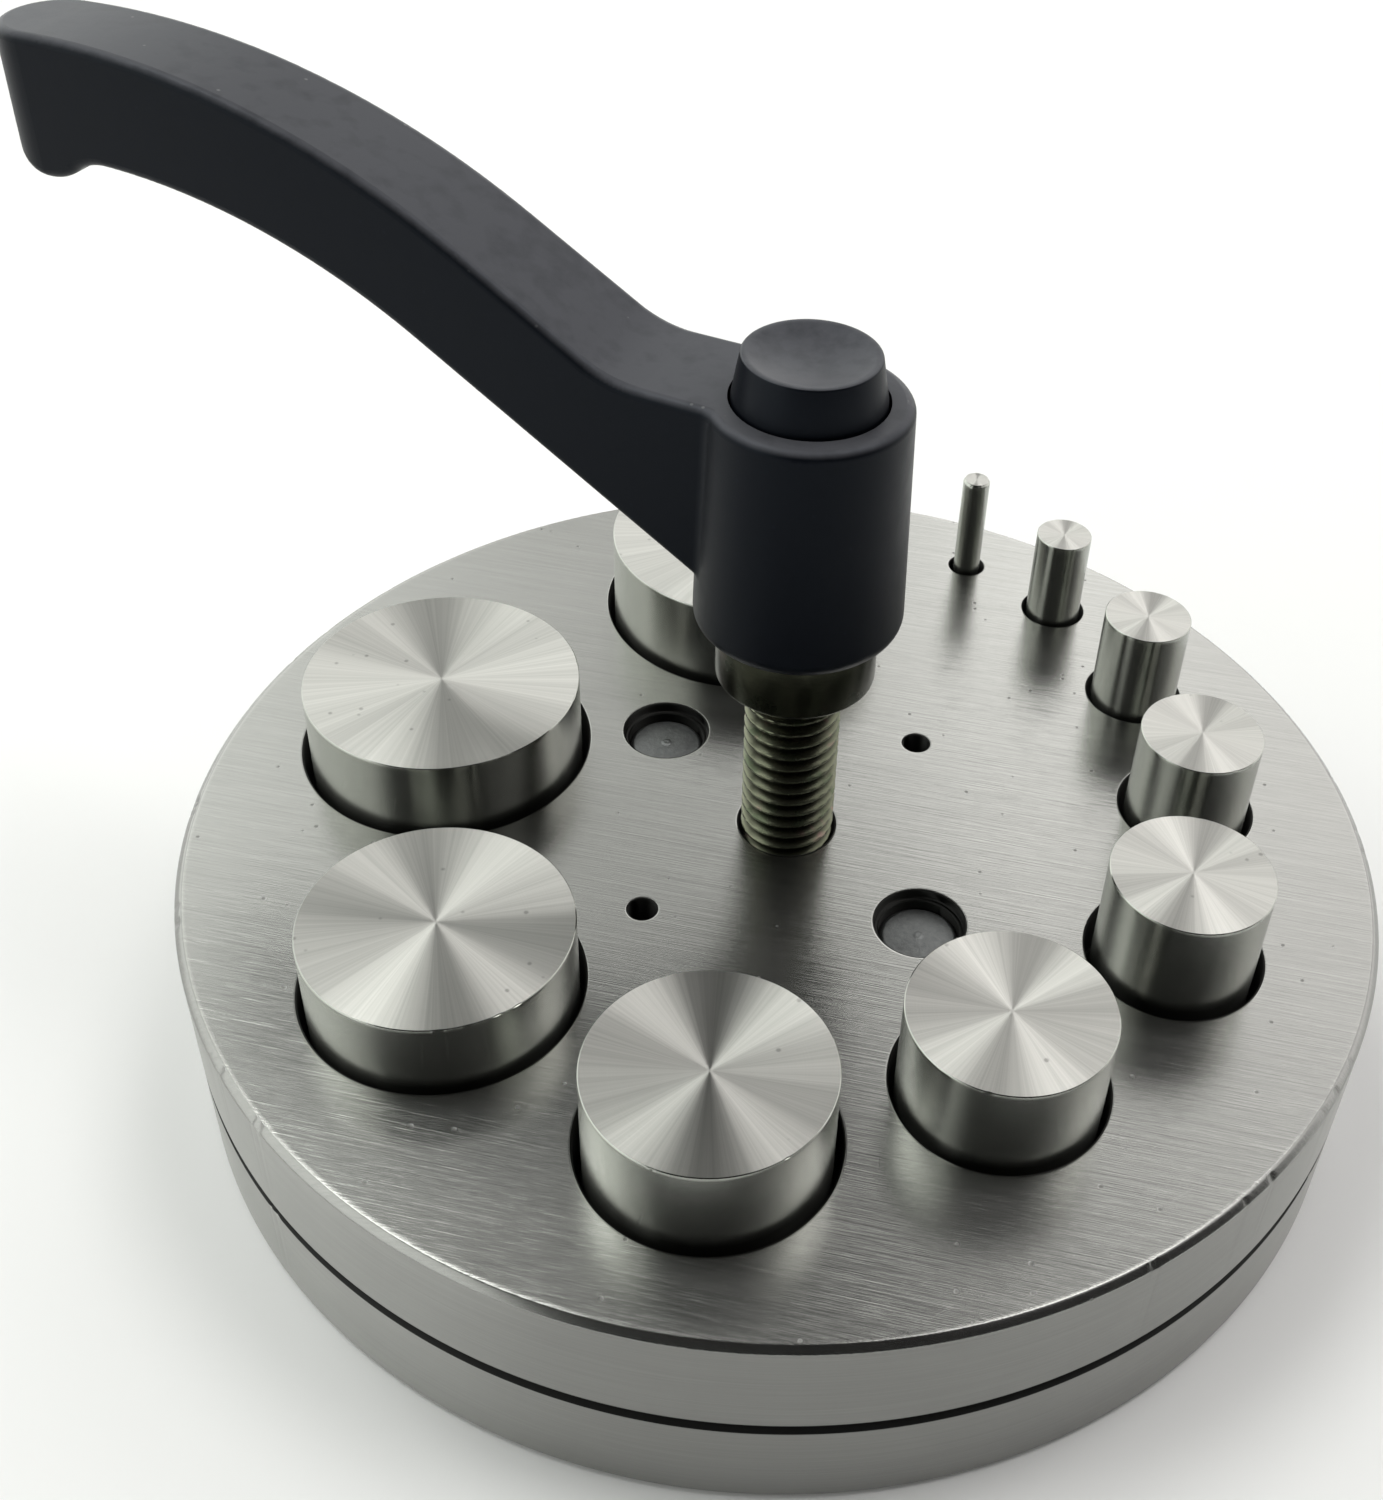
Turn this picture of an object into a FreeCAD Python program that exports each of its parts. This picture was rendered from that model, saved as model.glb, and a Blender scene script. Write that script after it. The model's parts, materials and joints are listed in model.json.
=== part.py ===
import FreeCAD, Part
import math
import os

import Sketcher

# Round disc cutter for sheet metal: a die plate and a guide plate on two dowel pins, ten loose
# punches in a ring, and a screw in the middle that a push-button clamping lever turns.
# The frame is in millimetres with +Z up and its origin at the centre of the underside.

Vector = FreeCAD.Vector
UP = Vector(0, 0, 1)

PLATES = [
    ("plate_diameter", 122.0),
    ("lower_plate_thickness", 11.5),
    ("upper_plate_thickness", 12.2),
    ("plate_edge_chamfer", 0.65),
    ("relief_depth", 6.0),
    ("guide_clearance", 0.05),
    ("die_clearance", 0.04),
    ("jacking_hole_diameter", 2.8),
    ("jacking_hole_reach_share", 0.316393),
    ("jacking_hole_angle", 46.4),
    ("cut_overrun", 1.0),
]

DOWELS = [
    ("dowel_diameter", 8.0),
    ("dowel_chamfer", 0.45),
    ("dowel_recess", 1.8),
    ("dowel_seat_floor", 2.0),
    ("dowel_reach_share", 0.314754),
    ("dowel_angle", 137.0),
    ("dowel_slide_clearance", 0.05),
    ("dowel_seat_clearance", 0.01),
    ("dowel_mouth_margin", 0.5),
    ("dowel_mouth_depth", 1.0),
]

# Each punch: its radius in steps of the series, the distance of its centre from the axis as a
# share of the radius of the plates, its bearing in degrees, the height of its top above the
# guide plate as a share of punch_stand, and the width of its dark relief as a share of
# punch_relief.
PUNCH_SHARES = [
    ("punch_01", 1, 0.85082, 68.4, 1.26, 0.88),
    ("punch_02", 2, 0.821311, 54.0, 1.085, 0.76),
    ("punch_03", 3, 0.75082, 33.9, 1.1, 1.0),
    ("punch_04", 4, 0.7, 9.1, 1.05, 1.44),
    ("punch_05", 5, 0.681967, -20.3, 1.09, 1.64),
    ("punch_06", 6, 0.636066, -56.3, 0.99, 1.2),
    ("punch_07", 7, 0.67377, -95.8, 0.96, 1.44),
    ("punch_08", 8, 0.64918, -140.7, 0.8, 1.2),
    ("punch_09", 9, 0.62623, 166.4, 0.84, 1.56),
    ("punch_10", 10, 0.631148, 100.5, 0.98, 1.3),
]
PUNCH_COLUMNS = ("steps", "reach_share", "bearing", "stand_share", "relief_share")

PUNCH_SIZES = [
    ("punch_radius_step", 1.5875),
    ("punch_stand", 10.0),
    ("punch_relief", 0.5),
    ("punch_top_chamfer", 0.15),
    ("smallest_punch_chamfer", 0.4),
]

SCREW = [
    ("thread_diameter", 9.5),
    ("thread_pitch", 1.5),
    ("thread_depth", 0.85),
    ("thread_flat", 0.19),
    ("thread_runout", 0.9),
    ("screw_tip_chamfer", 0.9),
    ("screw_hole_floor", 2.0),
    ("screw_tip_gap", 0.3),
    ("screw_clearance", 0.24),
    ("clamp_stand", 19.7),
    ("collar_diameter", 15.5),
    ("collar_height", 7.0),
    ("collar_chamfer", 0.9),
    ("journal_diameter", 13.9),
    ("journal_height", 7.25),
    ("journal_clearance", 0.05),
    ("socket_flats", 5.0),
    ("socket_depth", 9.0),
]

LEVER = [
    ("hub_height", 23.65),
    ("hub_bottom_diameter", 20.0),
    ("hub_top_diameter", 18.6),
    ("hub_bottom_rounding", 1.6),
    ("hub_running_gap", 0.05),
    ("lever_length", 80.7),
    ("lever_bearing", 160.0),
    ("arm_root_width", 13.0),
    ("arm_tip_width", 10.3),
    ("arm_edge_rounding", 0.9),
    ("arm_root_rounding", 1.5),
    ("neck_flat", 13.6),
    ("neck_bend_radius", 11.6),
    ("arm_rise_angle", 30.2),
    ("arm_top_straight", 12.4),
    ("arm_top_bend_radius", 79.5),
    ("tip_dip_angle", 2.9),
    ("arm_depth_at_axis", 22.3),
    ("arm_bottom_straight", 41.8),
    ("arm_bottom_bend_radius", 64.2),
    ("heel_hollow_radius", 6.0),
    ("heel_dip_angle", 38.4),
    ("heel_radius", 5.5),
]

HUB_INSIDE = [
    ("tooth_ring_height", 3.0),
    ("tooth_ring_diameter", 12.6),
    ("tooth_diameter", 0.8),
    ("tooth_count", 24),
    ("tooth_clearance", 0.1),
    ("web_thickness", 1.4),
    ("stop_gap", 0.05),
    ("post_diameter", 4.0),
    ("post_clearance", 0.1),
    ("coupling_disc_height", 2.6),
    ("hexagon_clearance", 0.05),
    ("hexagon_overlap", 5.5),
    ("washer_thickness", 0.5),
    ("washer_clearance", 0.3),
    ("spring_wire", 0.8),
    ("spring_mean_diameter", 8.8),
    ("spring_coils", 4),
    ("seat_gap", 0.03),
    ("ring_wire", 1.0),
    ("ring_rise", 3.2),
    ("ring_opening_angle", 30.0),
    ("ring_groove_clearance", 0.08),
]

BUTTON = [
    ("button_base_diameter", 13.8),
    ("button_top_diameter", 12.3),
    ("button_stand", 4.3),
    ("button_skirt", 2.0),
    ("button_travel", 2.8),
    ("button_floor_gap", 0.2),
    ("button_clearance", 0.25),
    ("button_dish_depth", 1.0),
    ("button_dish_rim", 0.5),
    ("button_edge_rounding", 0.35),
    ("button_socket_depth", 3.6),
    ("button_socket_clearance", 0.01),
]

doc = FreeCAD.newDocument("disc_cutter")
sheet = doc.addObject("Spreadsheet::Sheet", "sizes")


def fill_sheet():
    """Every driving dimension as a plain number in a cell with an alias."""
    cells = PLATES + DOWELS + PUNCH_SIZES + SCREW + LEVER + HUB_INSIDE + BUTTON
    for name, *values in PUNCH_SHARES:
        cells += [(f"{name}_{column}", value) for column, value in zip(PUNCH_COLUMNS, values)]
    for row, (alias, value) in enumerate(cells, start=1):
        sheet.set(f"A{row}", alias)
        sheet.set(f"B{row}", str(value))
        sheet.setAlias(f"B{row}", alias)
    doc.recompute()


class Size:
    """A size worked out from the sheet: its number, and the expression that binds it."""

    def __init__(self, value, text):
        self.value = value
        self.text = text

    def __add__(self, other):
        other = as_size(other)
        return Size(self.value + other.value, f"({self.text} + {other.text})")

    def __sub__(self, other):
        other = as_size(other)
        return Size(self.value - other.value, f"({self.text} - {other.text})")

    def __mul__(self, other):
        other = as_size(other)
        return Size(self.value * other.value, f"({self.text} * {other.text})")

    def __truediv__(self, other):
        other = as_size(other)
        return Size(self.value / other.value, f"({self.text} / {other.text})")

    def __neg__(self):
        return Size(-self.value, f"(-{self.text})")


ZERO = Size(0.0, "0")


def as_size(number):
    return number if isinstance(number, Size) else Size(float(number), repr(number))


QUARTER_TURN = as_size(90)
FULL_TURN = QUARTER_TURN * 4
HALF_HEXAGON_SIDE = FULL_TURN / 12


def size(alias):
    """The named cell of the sheet."""
    return Size(float(sheet.get(alias)), f"sizes.{alias}")


def cosine(angle):
    return Size(math.cos(math.radians(angle.value)), f"cos({angle.text} * 1 deg)")


def sine(angle):
    return Size(math.sin(math.radians(angle.value)), f"sin({angle.text} * 1 deg)")


def bind(item, name, amount):
    item.setExpression(name, amount.text)


def place(item, across=ZERO, along=ZERO, height=ZERO):
    """Bind the object's place in the frame."""
    bind(item, "Placement.Base.x", across)
    bind(item, "Placement.Base.y", along)
    bind(item, "Placement.Base.z", height)


def cylinder(name, radius, height, across=ZERO, along=ZERO, bottom=ZERO):
    item = doc.addObject("Part::Cylinder", name)
    bind(item, "Radius", radius)
    bind(item, "Height", height)
    place(item, across, along, bottom)
    return item


def fused(name, items):
    item = doc.addObject("Part::MultiFuse", name)
    item.Shapes = items
    return item


def cut(name, base, tool):
    item = doc.addObject("Part::Cut", name)
    item.Base = base
    item.Tool = tool
    return item


def hold(sketch, index, across, up):
    """Tie the start of a line to the origin of the sketch by two sizes."""
    for kind, axis, amount in (("DistanceX", -2, across), ("DistanceY", -1, up)):
        if amount is ZERO:
            sketch.addConstraint(Sketcher.Constraint("PointOnObject", index, 1, axis))
        else:
            row = sketch.addConstraint(Sketcher.Constraint(kind, -1, 1, index, 1, amount.value))
            sketch.setExpression(f"Constraints[{row}]", amount.text)


def outline(body, corners):
    """A closed outline of straight lines in the upright XZ plane, as radius and height."""
    sketch = body.newObject("Sketcher::SketchObject", f"{body.Name}_outline")
    plane = next(item for item in body.Origin.OriginFeatures if item.Role == "XZ_Plane")
    sketch.AttachmentSupport = [(plane, "")]
    sketch.MapMode = "FlatFace"
    spots = [Vector(across.value, up.value, 0) for across, up in corners]
    after = spots[1:] + spots[:1]
    for start, end in zip(spots, after):
        sketch.addGeometry(Part.LineSegment(start, end), False)
    for index in range(len(spots)):
        following = (index + 1) % len(spots)
        sketch.addConstraint(Sketcher.Constraint("Coincident", index, 2, following, 1))
    for index, (across, up) in enumerate(corners):
        hold(sketch, index, across, up)
    return sketch


def turned(name, corners):
    """A lathe-turned body: its outline revolved about the Z axis."""
    body = doc.addObject("PartDesign::Body", name)
    sketch = outline(body, corners)
    turning = body.newObject("PartDesign::Revolution", f"{name}_turning")
    turning.Profile = sketch
    turning.ReferenceAxis = (sketch, ["V_Axis"])
    doc.recompute()
    return body


def edges_where(shape, test):
    """The numbers of the edges that pass the test."""
    return [index for index, edge in enumerate(shape.Edges, start=1) if test(edge)]


def rounded(name, base, radius, test):
    """A Part fillet of the edges of the base that pass the test."""
    doc.recompute()
    item = doc.addObject("Part::Fillet", name)
    item.Base = base
    item.Edges = [(index, radius.value, radius.value) for index in edges_where(base.Shape, test)]
    doc.recompute()
    return item


fill_sheet()

OVERRUN = size("cut_overrun")
LOWER = size("lower_plate_thickness")
DECK = LOWER + size("upper_plate_thickness")
SCREW_HOLE_RADIUS = size("thread_diameter") / 2 + size("screw_clearance")
COLLAR_BOTTOM = DECK + size("clamp_stand")
COLLAR_TOP = COLLAR_BOTTOM + size("collar_height")
HUB_BOTTOM = COLLAR_TOP + size("hub_running_gap")
HUB_TOP = HUB_BOTTOM + size("hub_height")
JOURNAL_TOP = COLLAR_TOP + size("journal_height")
SCREW_LENGTH = DECK - size("screw_hole_floor") - size("screw_tip_gap")
BORE_RADIUS = size("journal_diameter") / 2 + size("journal_clearance")
RING_HEIGHT = HUB_BOTTOM + size("ring_rise")
RING_HALF_GROOVE = size("ring_wire") / 2 + size("ring_groove_clearance")


def polar(reach, bearing):
    """A place on the plates, from its distance to the axis and its bearing."""
    return reach * cosine(bearing), reach * sine(bearing)


def on_plates(share, bearing):
    """A place on the plates, its distance from the axis given as a share of their radius."""
    return polar(size("plate_diameter") / 2 * size(share), bearing)


def punch_place(name):
    return on_plates(f"{name}_reach_share", size(f"{name}_bearing"))


def punch_radius(name):
    return size("punch_radius_step") * size(f"{name}_steps")


def plate_blank(name, thickness):
    """A turned round plate with both rims chamfered."""
    radius = size("plate_diameter") / 2
    edge = size("plate_edge_chamfer")
    return turned(name, [
        (ZERO, ZERO),
        (radius - edge, ZERO),
        (radius, edge),
        (radius, thickness - edge),
        (radius - edge, thickness),
        (ZERO, thickness),
    ])


def jacking_holes(prefix, bottom, height):
    """Two small through holes, square to the line of the dowels."""
    holes = []
    for side, turn in (("right", ZERO), ("left", QUARTER_TURN * 2)):
        across, along = on_plates("jacking_hole_reach_share", size("jacking_hole_angle") + turn)
        radius = size("jacking_hole_diameter") / 2
        holes.append(cylinder(f"{prefix}_{side}", radius, height, across, along, bottom))
    return holes


def dowel_place(turn):
    return on_plates("dowel_reach_share", size("dowel_angle") + turn)


def make_lower_plate():
    """The die plate: a die hole for each punch, the dowel seats and the blind screw hole."""
    blank = plate_blank("lower_blank", LOWER)
    height = LOWER + OVERRUN * 2
    tools = []
    for name, *_ in PUNCH_SHARES:
        across, along = punch_place(name)
        radius = punch_radius(name) + size("die_clearance")
        tools.append(cylinder(f"{name}_die", radius, height, across, along, -OVERRUN))
    floor = size("screw_hole_floor")
    tools.append(cylinder("screw_hole_below", SCREW_HOLE_RADIUS, height, bottom=floor))
    tools += jacking_holes("jacking_below", -OVERRUN, height)
    for side, turn in (("left", 0), ("right", 180)):
        across, along = dowel_place(turn)
        radius = size("dowel_diameter") / 2 + size("dowel_seat_clearance")
        seat = size("dowel_seat_floor")
        tools.append(cylinder(f"dowel_seat_{side}", radius, height, across, along, seat))
    return cut("lower_die_plate", blank, fused("lower_drilling", tools))


def make_upper_plate():
    """The guide plate: stepped punch guides with a relief at the top, and stepped dowel holes."""
    blank = plate_blank("upper_blank", size("upper_plate_thickness"))
    place(blank, height=LOWER)
    bottom = LOWER - OVERRUN
    height = size("upper_plate_thickness") + OVERRUN * 2
    relief_floor = DECK - size("relief_depth")
    relief_height = size("relief_depth") + OVERRUN
    tools = []
    for name, *_ in PUNCH_SHARES:
        across, along = punch_place(name)
        guide = punch_radius(name) + size("guide_clearance")
        tools.append(cylinder(f"{name}_guide", guide, height, across, along, bottom))
        wide = punch_radius(name) + size("punch_relief") * size(f"{name}_relief_share")
        tools.append(cylinder(f"{name}_relief_cut", wide, relief_height, across, along, relief_floor))
    tools.append(cylinder("screw_hole_above", SCREW_HOLE_RADIUS, height, bottom=bottom))
    tools += jacking_holes("jacking_above", bottom, height)
    for side, turn in (("left", 0), ("right", 180)):
        across, along = dowel_place(turn)
        radius = size("dowel_diameter") / 2 + size("dowel_slide_clearance")
        tools.append(cylinder(f"dowel_guide_{side}", radius, height, across, along, bottom))
        wide = size("dowel_diameter") / 2 + size("dowel_mouth_margin")
        depth = size("dowel_mouth_depth")
        tools.append(cylinder(f"dowel_mouth_{side}", wide, depth + OVERRUN, across, along, DECK - depth))
    return cut("upper_guide_plate", blank, fused("upper_drilling", tools))


def make_dowel(name, turn):
    """A chamfered dowel, pressed into the die plate and free in the guide plate."""
    radius = size("dowel_diameter") / 2
    edge = size("dowel_chamfer")
    length = DECK - size("dowel_recess") - size("dowel_seat_floor")
    dowel = turned(name, [
        (ZERO, ZERO),
        (radius - edge, ZERO),
        (radius, edge),
        (radius, length - edge),
        (radius - edge, length),
        (ZERO, length),
    ])
    across, along = dowel_place(turn)
    place(dowel, across, along, size("dowel_seat_floor"))
    return dowel


def make_punch(name, chamfer):
    """A straight turned punch with a sharp cutting edge below and a broken edge above."""
    radius = punch_radius(name)
    length = DECK + size("punch_stand") * size(f"{name}_stand_share")
    punch = turned(name, [
        (ZERO, ZERO),
        (radius, ZERO),
        (radius, length - chamfer),
        (radius - chamfer, length),
        (ZERO, length),
    ])
    across, along = punch_place(name)
    place(punch, across, along)
    return punch


def hexagon(name, flats, height, bottom):
    item = doc.addObject("Part::Prism", name)
    item.Polygon = 6
    bind(item, "Circumradius", flats / (cosine(HALF_HEXAGON_SIDE) * 2))
    bind(item, "Height", height)
    place(item, height=bottom)
    return item


def make_screw():
    """The clamping screw: thread, collar and a hollow journal that the lever turns on."""
    radius = size("thread_diameter") / 2
    collar = size("collar_diameter") / 2
    journal = size("journal_diameter") / 2
    tip_edge = size("screw_tip_chamfer")
    collar_edge = size("collar_chamfer")
    tip = COLLAR_BOTTOM - SCREW_LENGTH
    groove_floor = BORE_RADIUS - RING_HALF_GROOVE
    blank = turned("screw_blank", [
        (ZERO, tip),
        (radius - tip_edge, tip),
        (radius, tip + tip_edge),
        (radius, COLLAR_BOTTOM),
        (collar - collar_edge, COLLAR_BOTTOM),
        (collar, COLLAR_BOTTOM + collar_edge),
        (collar, COLLAR_TOP),
        (journal, COLLAR_TOP),
        (journal, RING_HEIGHT - RING_HALF_GROOVE),
        (groove_floor, RING_HEIGHT - RING_HALF_GROOVE),
        (groove_floor, RING_HEIGHT + RING_HALF_GROOVE),
        (journal, RING_HEIGHT + RING_HALF_GROOVE),
        (journal, JOURNAL_TOP),
        (ZERO, JOURNAL_TOP),
    ])
    socket = hexagon("screw_socket", size("socket_flats"), size("socket_depth") + OVERRUN,
                     JOURNAL_TOP - size("socket_depth"))
    thread = doc.addObject("Part::Feature", "screw_thread_groove")
    thread.Shape = thread_groove(radius.value, tip.value)
    return cut("threaded_screw", blank, fused("screw_cuts", [socket, thread]))


def thread_groove(radius, tip):
    """The helical groove between the crests: a flat-bottomed V swept up the rod."""
    pitch = size("thread_pitch").value
    inner = radius - size("thread_depth").value
    outer = radius + size("thread_flat").value
    half_root = size("thread_flat").value / 2
    half_mouth = pitch / 2 - half_root
    rise = (SCREW_LENGTH - size("thread_runout")).value
    helix = Part.makeHelix(pitch, rise, radius)
    helix.translate(UP * tip)
    section = [
        (inner, -half_root),
        (radius, -half_mouth),
        (outer, -half_mouth),
        (outer, half_mouth),
        (radius, half_mouth),
        (inner, half_root),
    ]
    corners = [Vector(across, 0, tip + up) for across, up in section]
    profile = Part.makePolygon(corners + corners[:1])
    return Part.Wire(helix.Edges).makePipeShell([profile], True, True)


class Path:
    """An outline in the upright plane of the lever, drawn by straights and tangent bends."""

    def __init__(self, along, up, heading):
        self.start = Vector(along, 0, up)
        self.here = self.start
        self.heading = heading
        self.edges = []

    def direction(self, turn=0.0):
        angle = math.radians(self.heading + turn)
        return Vector(math.cos(angle), 0, math.sin(angle))

    def line_to(self, end):
        self.edges.append(Part.makeLine(self.here, end))
        self.here = end

    def straight(self, length):
        self.line_to(self.here + self.direction() * length)

    def straight_until(self, along):
        step = self.direction()
        self.line_to(self.here + step * ((along - self.here.x) / step.x))

    def bend(self, radius, angle):
        """A tangent arc, to the left for a positive angle."""
        side = math.copysign(QUARTER_TURN.value, angle)
        centre = self.here + self.direction(side) * radius
        middle = centre - self.direction(side + angle / 2) * radius
        end = centre - self.direction(side + angle) * radius
        self.edges.append(Part.Arc(self.here, middle, end).toShape())
        self.here = end
        self.heading += angle


def arm_side():
    """The side view of the arm as a slab: a rising S on top, and a heel under the tip."""
    top_of_hub = HUB_TOP.value
    rise = size("arm_rise_angle").value
    fall = rise + size("tip_dip_angle").value
    dip = size("heel_dip_angle").value
    bottom = Path(0, top_of_hub - size("arm_depth_at_axis").value, rise)
    bottom.straight(size("arm_bottom_straight").value)
    bottom.bend(size("arm_bottom_bend_radius").value, -rise)
    bottom.bend(size("heel_hollow_radius").value, -dip)
    bottom.bend(size("heel_radius").value, dip + QUARTER_TURN.value)
    top = Path(0, top_of_hub, 0)
    top.straight(size("neck_flat").value)
    top.bend(size("neck_bend_radius").value, rise)
    top.straight(size("arm_top_straight").value)
    top.bend(size("arm_top_bend_radius").value, -fall)
    top.straight_until(bottom.here.x)
    closing = [Part.makeLine(top.here, bottom.here), Part.makeLine(bottom.start, top.start)]
    wire = Part.Wire(Part.__sortEdges__(top.edges + bottom.edges + closing))
    width = size("arm_root_width").value
    slab = Part.Face(wire).extrude(Vector(0, 2 * width, 0))
    slab.translate(Vector(0, -width, 0))
    return slab


def arm_plan():
    """The top view of the arm as a block: a slow taper that ends in a full round."""
    root = size("arm_root_width").value / 2
    nose = size("arm_tip_width").value / 2
    centre = size("lever_length").value - nose
    lean = math.asin((root - nose) / centre)
    touch = Vector(centre + nose * math.sin(lean), nose * math.cos(lean), 0)
    start = Vector(0, touch.y + touch.x * math.tan(lean), 0)
    mirrored = [Vector(spot.x, -spot.y, 0) for spot in (start, touch)]
    edges = [
        Part.makeLine(mirrored[0], mirrored[1]),
        Part.Arc(mirrored[1], Vector(centre + nose, 0, 0), touch).toShape(),
        Part.makeLine(touch, start),
        Part.makeLine(start, mirrored[0]),
    ]
    height = HUB_TOP.value + size("lever_length").value
    return Part.Face(Part.Wire(edges)).extrude(UP * height)


def middle_of(edge):
    return edge.valueAt((edge.FirstParameter + edge.LastParameter) / 2)


def is_upright(edge):
    box = edge.BoundBox
    return math.hypot(box.XLength, box.YLength) < box.ZLength / 4


def looks_down(face):
    first, last, low, high = face.ParameterRange
    return face.normalAt((first + last) / 2, (low + high) / 2).z < -0.3


def lower_edges(shape):
    """The edges between the underside of the arm and its flanks."""
    under = [face for face in shape.Faces if looks_down(face)]
    edges = []
    for edge in shape.Edges:
        touching = [face for face in under if any(edge.isSame(other) for other in face.Edges)]
        if len(touching) == 1 and edge.BoundBox.XLength > size("arm_edge_rounding").value:
            edges.append(edge)
    return edges


def make_arm_blank():
    """The arm before it joins the hub, with the lower edges rounded."""
    raw = arm_side().common(arm_plan()).removeSplitter()
    arm = doc.addObject("Part::Feature", "arm_blank")
    arm.Shape = raw.makeFillet(size("arm_edge_rounding").value, lower_edges(raw))
    arm.Placement = FreeCAD.Placement(Vector(), FreeCAD.Rotation(UP, size("lever_bearing").value))
    return arm


def along_arm(spot):
    """The place of a point in the lever's own directions: along, across."""
    angle = math.radians(size("lever_bearing").value)
    along = spot.x * math.cos(angle) + spot.y * math.sin(angle)
    across = spot.y * math.cos(angle) - spot.x * math.sin(angle)
    return along, across


def make_lever():
    """The cast lever: conical hub and arm in one piece, bored for the screw and the button."""
    hub = doc.addObject("Part::Cone", "hub_blank")
    bind(hub, "Radius1", size("hub_bottom_diameter") / 2)
    bind(hub, "Radius2", size("hub_top_diameter") / 2)
    bind(hub, "Height", size("hub_height"))
    place(hub, height=HUB_BOTTOM)
    joined = doc.addObject("Part::Fuse", "lever_joined")
    joined.Base = hub
    joined.Tool = make_arm_blank()
    joined.Refine = True
    side_band = size("arm_tip_width").value / 5
    hub_radius = size("hub_bottom_diameter").value / 2
    top = HUB_TOP.value - size("seat_gap").value

    def is_corner(edge):
        along, _ = along_arm(middle_of(edge))
        return is_upright(edge) and along < hub_radius and edge.BoundBox.ZMax > top

    def is_rim(edge):
        along, across = along_arm(middle_of(edge))
        return edge.BoundBox.ZMin > top and (along < 0 or abs(across) > side_band)

    def is_foot(edge):
        box = edge.BoundBox
        return box.ZMax < HUB_BOTTOM.value + size("seat_gap").value and box.XLength > hub_radius

    soft_corner = rounded("lever_corner", joined, size("arm_root_rounding"), is_corner)
    soft_rim = rounded("lever_rim", soft_corner, size("arm_edge_rounding"), is_rim)
    soft_foot = rounded("lever_foot", soft_rim, size("hub_bottom_rounding"), is_foot)
    return cut("lever_arm", soft_foot, make_hub_bore())


def hub_levels():
    """Heights inside the hub: floor and ceiling of the tooth ring, and top of the web."""
    skirt_bottom = HUB_TOP - size("button_skirt")
    web_top = skirt_bottom - size("button_travel") - size("button_floor_gap")
    ceiling = web_top - size("web_thickness")
    return ceiling - size("tooth_ring_height"), ceiling, web_top


def make_hub_bore():
    floor, ceiling, web_top = hub_levels()
    bottom = HUB_BOTTOM - OVERRUN
    button_bore = size("button_base_diameter") / 2 + size("button_clearance")
    crest = size("tooth_ring_diameter") / 2
    hole = size("post_diameter") / 2 + size("post_clearance")
    groove_radius = BORE_RADIUS + RING_HALF_GROOVE
    groove_bottom = RING_HEIGHT - RING_HALF_GROOVE
    tools = [
        cylinder("journal_bore", BORE_RADIUS, floor - bottom, bottom=bottom),
        cylinder("tooth_bore", crest, ceiling - bottom, bottom=bottom),
        cylinder("post_hole", hole, HUB_TOP - bottom, bottom=bottom),
        cylinder("button_bore", button_bore, HUB_TOP - web_top + OVERRUN, bottom=web_top),
        cylinder("hub_ring_groove", groove_radius, RING_HALF_GROOVE * 2, bottom=groove_bottom),
    ]
    tools.append(tooth_circle("hub_tooth_gap", crest, bottom, ceiling - bottom))
    return fused("hub_boring", tools)


def tooth_circle(name, radius, bottom, height):
    """A ring of round-bottomed gaps between teeth, cut along Z."""
    count = int(size("tooth_count").value)
    width = size("tooth_diameter").value / 2
    gaps = []
    for index in range(count):
        angle = 2 * math.pi * index / count
        spot = Vector(radius.value * math.cos(angle), radius.value * math.sin(angle), bottom.value)
        gaps.append(Part.makeCylinder(width, height.value, spot, UP))
    item = doc.addObject("Part::Feature", name)
    item.Shape = Part.makeCompound(gaps)
    return item


def make_snap_ring():
    """An open round-wire ring, half in the journal and half in the bore of the hub."""
    ring = doc.addObject("Part::Torus", "retaining_ring")
    bind(ring, "Radius1", BORE_RADIUS)
    bind(ring, "Radius2", size("ring_wire") / 2)
    bind(ring, "Angle3", FULL_TURN - size("ring_opening_angle"))
    place(ring, height=RING_HEIGHT)
    return ring


def make_coupling():
    """The toothed coupling: a hexagon that slides in the screw, a toothed disc and a post."""
    _, ceiling, _ = hub_levels()
    disc_top = ceiling - size("stop_gap")
    disc_bottom = disc_top - size("coupling_disc_height")
    radius = size("tooth_ring_diameter") / 2 - size("tooth_clearance")
    flats = size("socket_flats") - size("hexagon_clearance") * 2
    stem_bottom = JOURNAL_TOP - size("hexagon_overlap")
    post_top = HUB_TOP - size("button_skirt") + size("button_socket_depth") - size("seat_gap")
    stem = hexagon("coupling_stem", flats, disc_top - stem_bottom, stem_bottom)
    disc = cylinder("coupling_disc", radius, disc_top - disc_bottom, bottom=disc_bottom)
    post = cylinder("coupling_post", size("post_diameter") / 2, post_top - disc_bottom, bottom=disc_bottom)
    gaps = tooth_circle("coupling_tooth_gap", radius, disc_bottom, disc_top - disc_bottom)
    return cut("toothed_coupling", fused("coupling_blank", [stem, disc, post]), gaps)


def make_washer():
    """The thrust washer under the spring, loose on the hexagon."""
    bottom = JOURNAL_TOP + size("seat_gap")
    top = JOURNAL_TOP + size("washer_thickness")
    hole = size("socket_flats") / (cosine(HALF_HEXAGON_SIDE) * 2) + size("washer_clearance")
    rim = BORE_RADIUS - size("washer_clearance")
    return turned("thrust_washer", [(hole, bottom), (rim, bottom), (rim, top), (hole, top)])


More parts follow.
